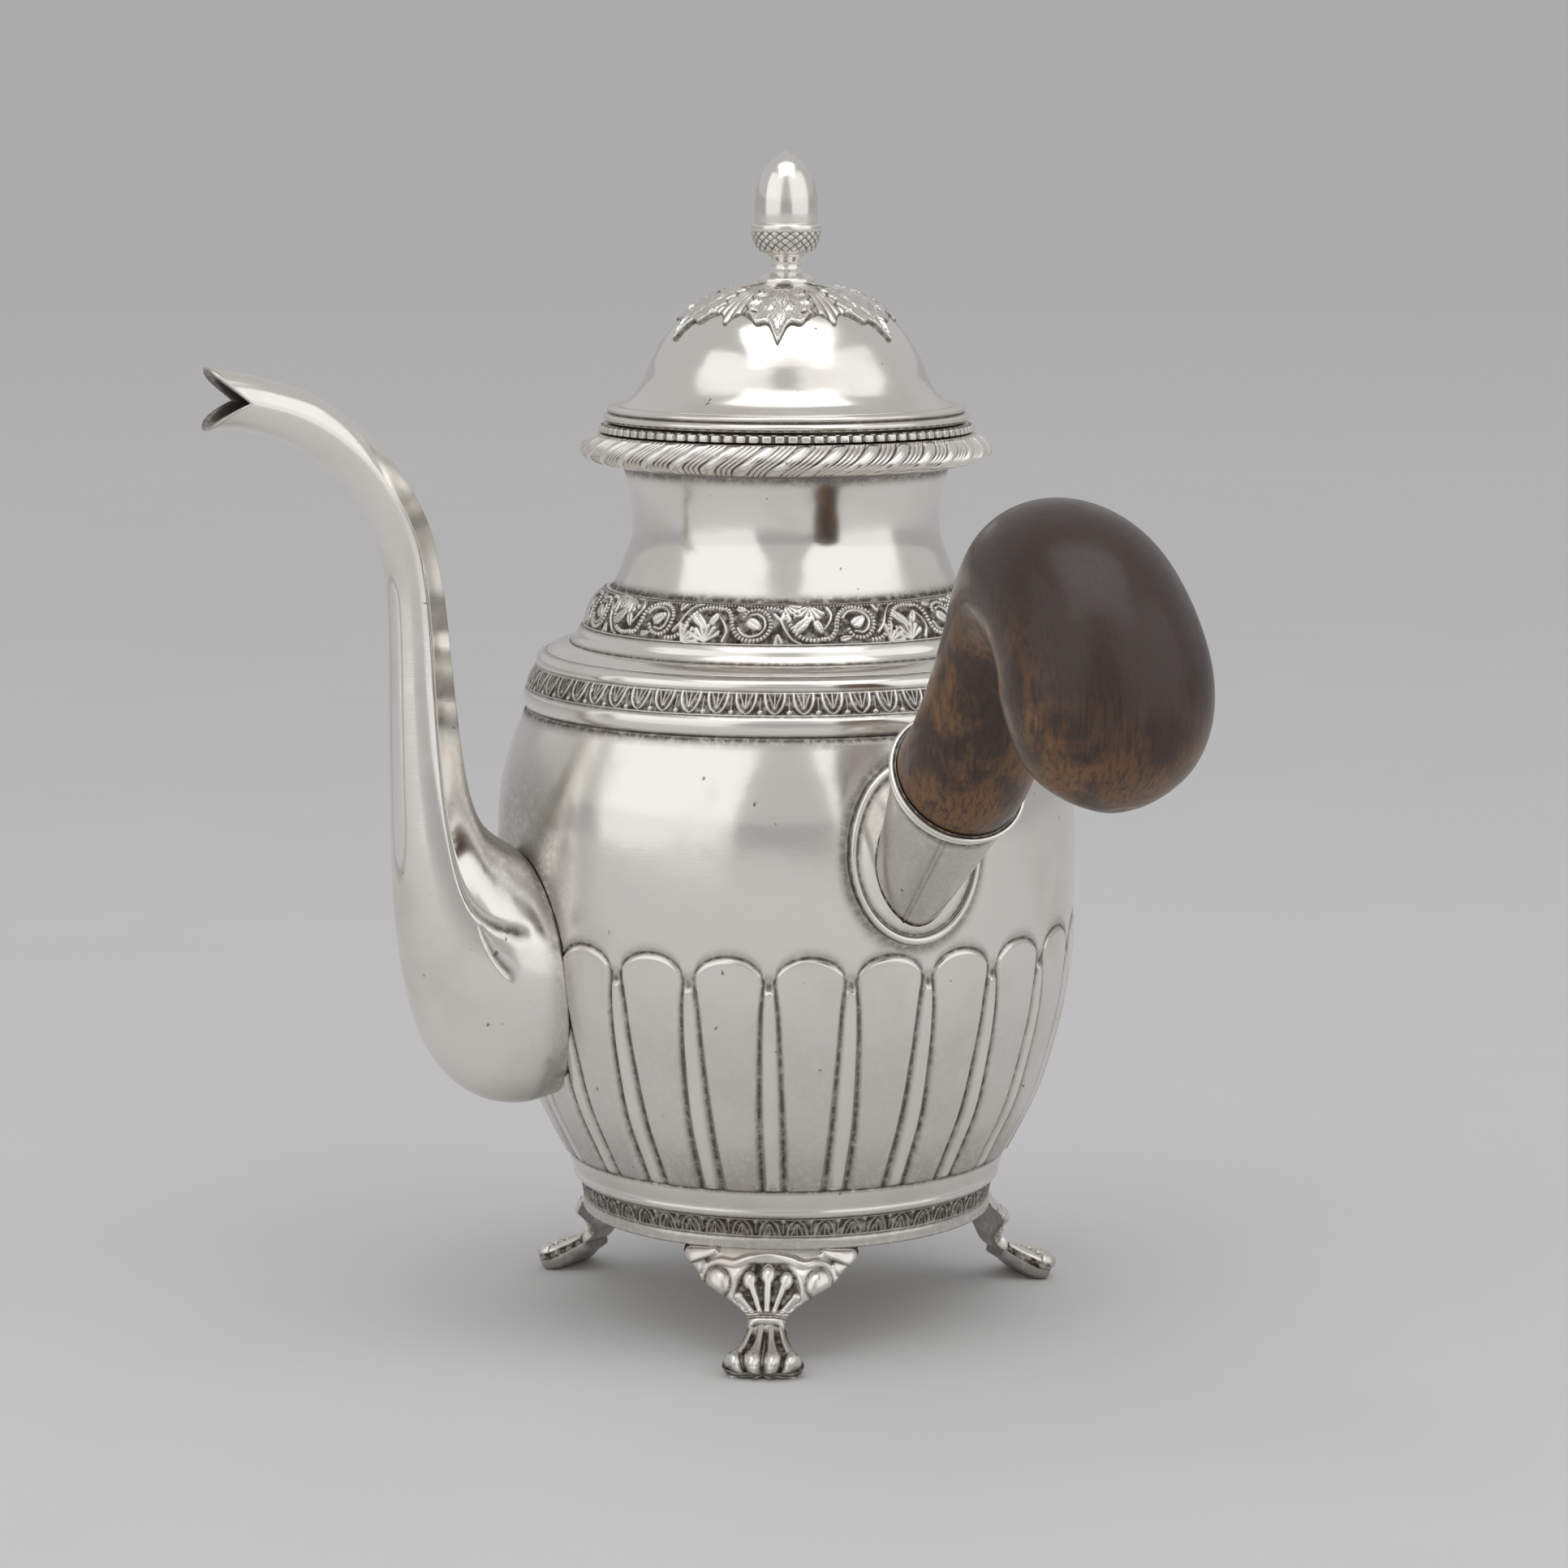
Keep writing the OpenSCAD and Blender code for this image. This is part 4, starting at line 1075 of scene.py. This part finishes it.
def bracket_relief(x, drop):
    """The bracket: a palmette in a sunk ground, a scroll on each side, and leaves out to the tips."""
    side = np.abs(x)
    sunk = 1 - ramp(0.85, 1.0, np.hypot(x / 7.9, (drop - 8.6) / 7.2))
    sunk = sunk * (1 - ramp(11.7, 12.4, drop))
    fan = np.maximum.reduce([
        lobe_shape(side, drop, (0, 12.2), (0, 5.0), 0.75, 1.05),
        lobe_shape(side, drop, (1.5, 12.2), (3.9, 6.3), 0.65, 0.95),
        lobe_shape(side, drop, (3.2, 12.2), (6.0, 9.6), 0.6, 0.8),
        ridge(np.hypot(side, (drop - 4.9) * 0.8), 1.75),
        ridge(np.hypot(side - 4.1, (drop - 6.1) * 0.85), 1.65),
        ridge(np.hypot(side - 6.3, drop - 9.4), 1.15),
    ])
    d = np.hypot(side - 11.4, drop - 7.0)
    knob = ridge(d, 2.9)
    rim = stroke(side, drop, curve(BRACKET_SCROLL, 4), 0.85, 1.0)
    leaves = np.maximum.reduce([
        lobe_shape(side, drop, (12.4, 1.2), (18.6, 1.9), 0.8, 1.7),
        lobe_shape(side, drop, (14.9, 3.5), (17.4, 4.6), 0.8, 1.3),
        lobe_shape(side, drop, (15.9, 6.0), (16.0, 6.9), 0.8, 1.1),
    ])
    pads = lobe_shape(side, drop, (4.6, 12.6), (6.6, 11.3), 0.7, 1.2)
    off_leaf = ramp(4.2, 5.2, d) * ramp(11.0, 15.0, side)
    height = 1.5 * fan - 0.8 * sunk + 1.6 * knob + 0.75 * rim + 1.2 * leaves - 0.5 * off_leaf + 0.6 * pads
    raised = np.maximum.reduce([fan, knob, rim, leaves, pads])
    ground = np.maximum(sunk, off_leaf) * (1 - ramp(0.2, 0.75, raised))
    recess = ground + 0.8 * line(d - 3.0, 0.45) * (knob < 0.2) + 0.6 * line(drop, 0.5) + 0.1
    return height, np.clip(recess, 0, 1)


def paw_relief(u, w):
    """The paw: tendons that widen into four toes, with dark grooves between. w runs from ankle to toes."""
    toe_wide = 0.14 + 0.085 * ramp(0.2, 0.8, w)
    toes = np.maximum.reduce([ridge(u - at, toe_wide) for at in TOES])
    tendon = 0.45 * line(u, 0.05) * ramp(0.1, 0.3, w) * (1 - ramp(0.75, 0.95, w))
    swell = 0.8 + 0.9 * ridge(w - 0.76, 0.26)
    height = (toes * swell + tendon - 0.75) * ramp(0.02, 0.22, w)
    recess = (1 - ramp(0.15, 0.75, np.maximum(toes, tendon))) * ramp(0.0, 0.2, w) + 0.12
    return height, recess


def make_foot(name, turn):
    """One cast foot: the bracket follows the base, and the ankle drops from it to the paw."""
    keys = curve(FOOT, FOOT_STEPS)
    ankle_row = ANKLE * FOOT_STEPS
    spine = keys[:, :2]
    d = np.gradient(spine, axis=0)
    d = d / np.linalg.norm(d, axis=1, keepdims=True)
    d[0] = (0, -1)
    out = np.stack([-d[:, 1], d[:, 0]], -1)[:, None, :]
    u = np.sin(np.linspace(-math.pi / 2, math.pi / 2, 120))[None, :]
    x = u * keys[:, 2:3]
    drop = FOOT[0][1] - keys[:, 1:2] + 0 * u
    w = np.clip((np.arange(len(keys)) - ankle_row) / (len(keys) - 1 - ankle_row), -1, 1)[:, None] + 0 * u
    on_bracket = 1 - ramp(12.3, 13.0, drop)
    bracket, bracket_dark = bracket_relief(x, drop)
    paw, paw_dark = paw_relief(u + 0 * w, np.clip(w, 0, 1))
    bow = drop - 0.035 * x**2
    reeds = sum(ridge(bow - c, 0.46) for c in (12.7, 13.7)) + 1.5 * ridge(bow - 15.4, 1.1)
    collar = ramp(12.0, 12.3, bow) * (1 - ramp(16.4, 16.8, bow))
    height = bracket * on_bracket + paw * (w > 0) + 0.6 * reeds * collar
    recess = bracket_dark * on_bracket + paw_dark * (w > 0) + collar * (1 - np.clip(reeds, 0, 1)) * 0.9
    edge = np.sqrt(np.clip(1 - np.abs(u) ** 6, 0, 1))
    front = spine[:, None, :] + out * ((keys[:, 3:4] + height) * edge)[..., None]
    hollow_back = 0.35 * (w < 0.1) + (w >= 0.1) * 1.0
    back = spine[:, None, :] - out * (keys[:, 3:4] * edge * hollow_back)[..., None]

    def round_to(there, back_again):
        return np.concatenate([there, back_again[:, -2:0:-1]], axis=1)

    rz, xs, marks = round_to(front, back), round_to(x, x), round_to(recess, 0.5 + 0 * recess)
    spread = xs / keys[:, 2:3]
    toe_shape = np.cos(2 * TURN * (spread - 0.25)) - 1 - 2.4 * np.abs(spread) ** 3
    rz[..., 0] += 0.75 * toe_shape * ramp(0.62, 1.0, round_to(w, w))
    a = xs / spine[:, :1] + math.radians(turn)
    rings = np.stack([rz[..., 0] * np.cos(a), rz[..., 0] * np.sin(a), np.maximum(rz[..., 1], 0)], -1)
    ends = [np.repeat(rings[i].mean(0)[None, None], rings.shape[1], 1) for i in (0, -1)]
    rings = np.concatenate([ends[0], rings, ends[1]])
    marks = np.concatenate([marks[:1], marks, marks[-1:]])
    piece = skin(name, rings[::-1], np.clip(marks[::-1], 0, 1))
    return place(piece, "pot", "polished_silver", name, look=CHASED)


for name, turn in FOOT_TURNS.items():
    make_foot(name, turn)


# ---- CAD nodes that stay as they are, with a better material

UNSEEN = ("base_ring", "bottom_disc", "lid_bezel", "finial_stud", "finial_nut")
for name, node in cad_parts.items():
    if not node.hide_render:
        node.data.materials.clear()
        node.data.materials.append(INSIDE if name in UNSEEN else POLISHED)


# ---- floor, light and camera


# Radius of the floor's flat part, and of the bend that lifts its edge
FLOOR_FLAT = 6500.0
FLOOR_BEND = 1500.0
FLOOR_TONES = (0.655, 0.655, 0.66), (0.665, 0.665, 0.665)
# paler tone of the far floor: painted light where the lamps reach it less
FAR_TONE = (0.80, 0.80, 0.80)
WORLD_GREY = (0.62, 0.62, 0.62, 1)
WORLD_GLOW = 0.84
LIT_POINT = Vector((0, 0, 0.13))
# Lights: degrees to the right of the camera, elevation, distance, size, how bright each looks
LIGHTS = {
    "top_box": (5, 74, 1.9, (1.9, 1.4), 1.15),
    "left_box": (-50, 22, 2.0, (2.3, 2.4), 0.5),
    "right_box": (54, 24, 2.0, (2.7, 2.3), 0.5),
}
LENS = 106.2
SHIFT_X = -0.0013
CAMERA_AT = (-0.4582, -0.9606, 0.2814)
CAMERA_TOWARDS = (0.4305, 0.9026)  # level direction that the camera looks in
CAMERA_DOWN = math.radians(8.42)


def make_floor():
    """A wide pale floor that curves up all round, far behind the pot. Its far part is painted paler: painted
    light where the lamps reach it less.
    """
    bend = np.linspace(0, math.pi / 2, 24)[1:]
    flat = [(r, 0) for r in (1, 150, 400, 1000, 2500, 4500, FLOOR_FLAT)]
    rise = [(FLOOR_FLAT + FLOOR_BEND * math.sin(a), FLOOR_BEND * (1 - math.cos(a))) for a in bend]

    def relief(angle, s, r, z):
        return 0 * angle + 0 * z, ramp(300, 3500, r) + 0 * angle

    floor = revolve("floor", flat + rise, 96, relief, closed=False)
    mat, shader, add, join = nodes_of("pale_paper")
    place_at = add("ShaderNodeTexCoord").outputs["Object"]
    mottle = span(add, join, noise(add, join, place_at, 90, 3), 0.3, 0.7)
    tone = blend_colour(add, join, mottle, *FLOOR_TONES)
    # blends to the far tone with distance: painted light
    far = add("ShaderNodeAttribute", attribute_name="recess").outputs["Fac"]
    join(blend_colour(add, join, far, tone, FAR_TONE), shader.inputs["Base Color"])
    shader.inputs["Roughness"].default_value = 0.9
    shader.inputs["Specular IOR Level"].default_value = 0.1
    floor.data.materials.append(mat)


def softbox(name, azimuth, elevation, distance, size, glow):
    """An area light aimed at the pot."""
    a = VIEW_TURN + math.radians(azimuth)
    e = math.radians(elevation)
    light = bpy.data.lights.new(name, "AREA")
    light.shape = "RECTANGLE"
    light.size, light.size_y = size
    light.energy = glow * math.pi * size[0] * size[1]
    lamp = bpy.data.objects.new(name, light)
    away = Vector((math.cos(a) * math.cos(e), math.sin(a) * math.cos(e), math.sin(e)))
    lamp.location = LIT_POINT + away * distance
    lamp.rotation_mode = "QUATERNION"
    lamp.rotation_quaternion = away.to_track_quat("Z", "Y")
    bpy.context.scene.collection.objects.link(lamp)


def make_light():
    """A grey world and the lights."""
    world = bpy.data.worlds.new("studio")
    world.use_nodes = True
    background = world.node_tree.nodes["Background"]
    background.inputs["Color"].default_value = WORLD_GREY
    background.inputs["Strength"].default_value = WORLD_GLOW
    bpy.context.scene.world = world
    for name, values in LIGHTS.items():
        softbox(name, *values)
    bpy.context.scene.view_settings.view_transform = "Standard"


def make_camera():
    """The camera at the photo's viewing angle."""
    data = bpy.data.cameras.new("camera")
    data.lens = LENS
    data.sensor_width = 36.0
    data.shift_x = SHIFT_X
    camera = bpy.data.objects.new("camera", data)
    camera.location = CAMERA_AT
    level = math.cos(CAMERA_DOWN)
    look = Vector((CAMERA_TOWARDS[0] * level, CAMERA_TOWARDS[1] * level, -math.sin(CAMERA_DOWN)))
    camera.rotation_mode = "QUATERNION"
    camera.rotation_quaternion = look.to_track_quat("-Z", "Y")
    bpy.context.scene.collection.objects.link(camera)
    bpy.context.scene.camera = camera


make_floor()
make_light()
make_camera()
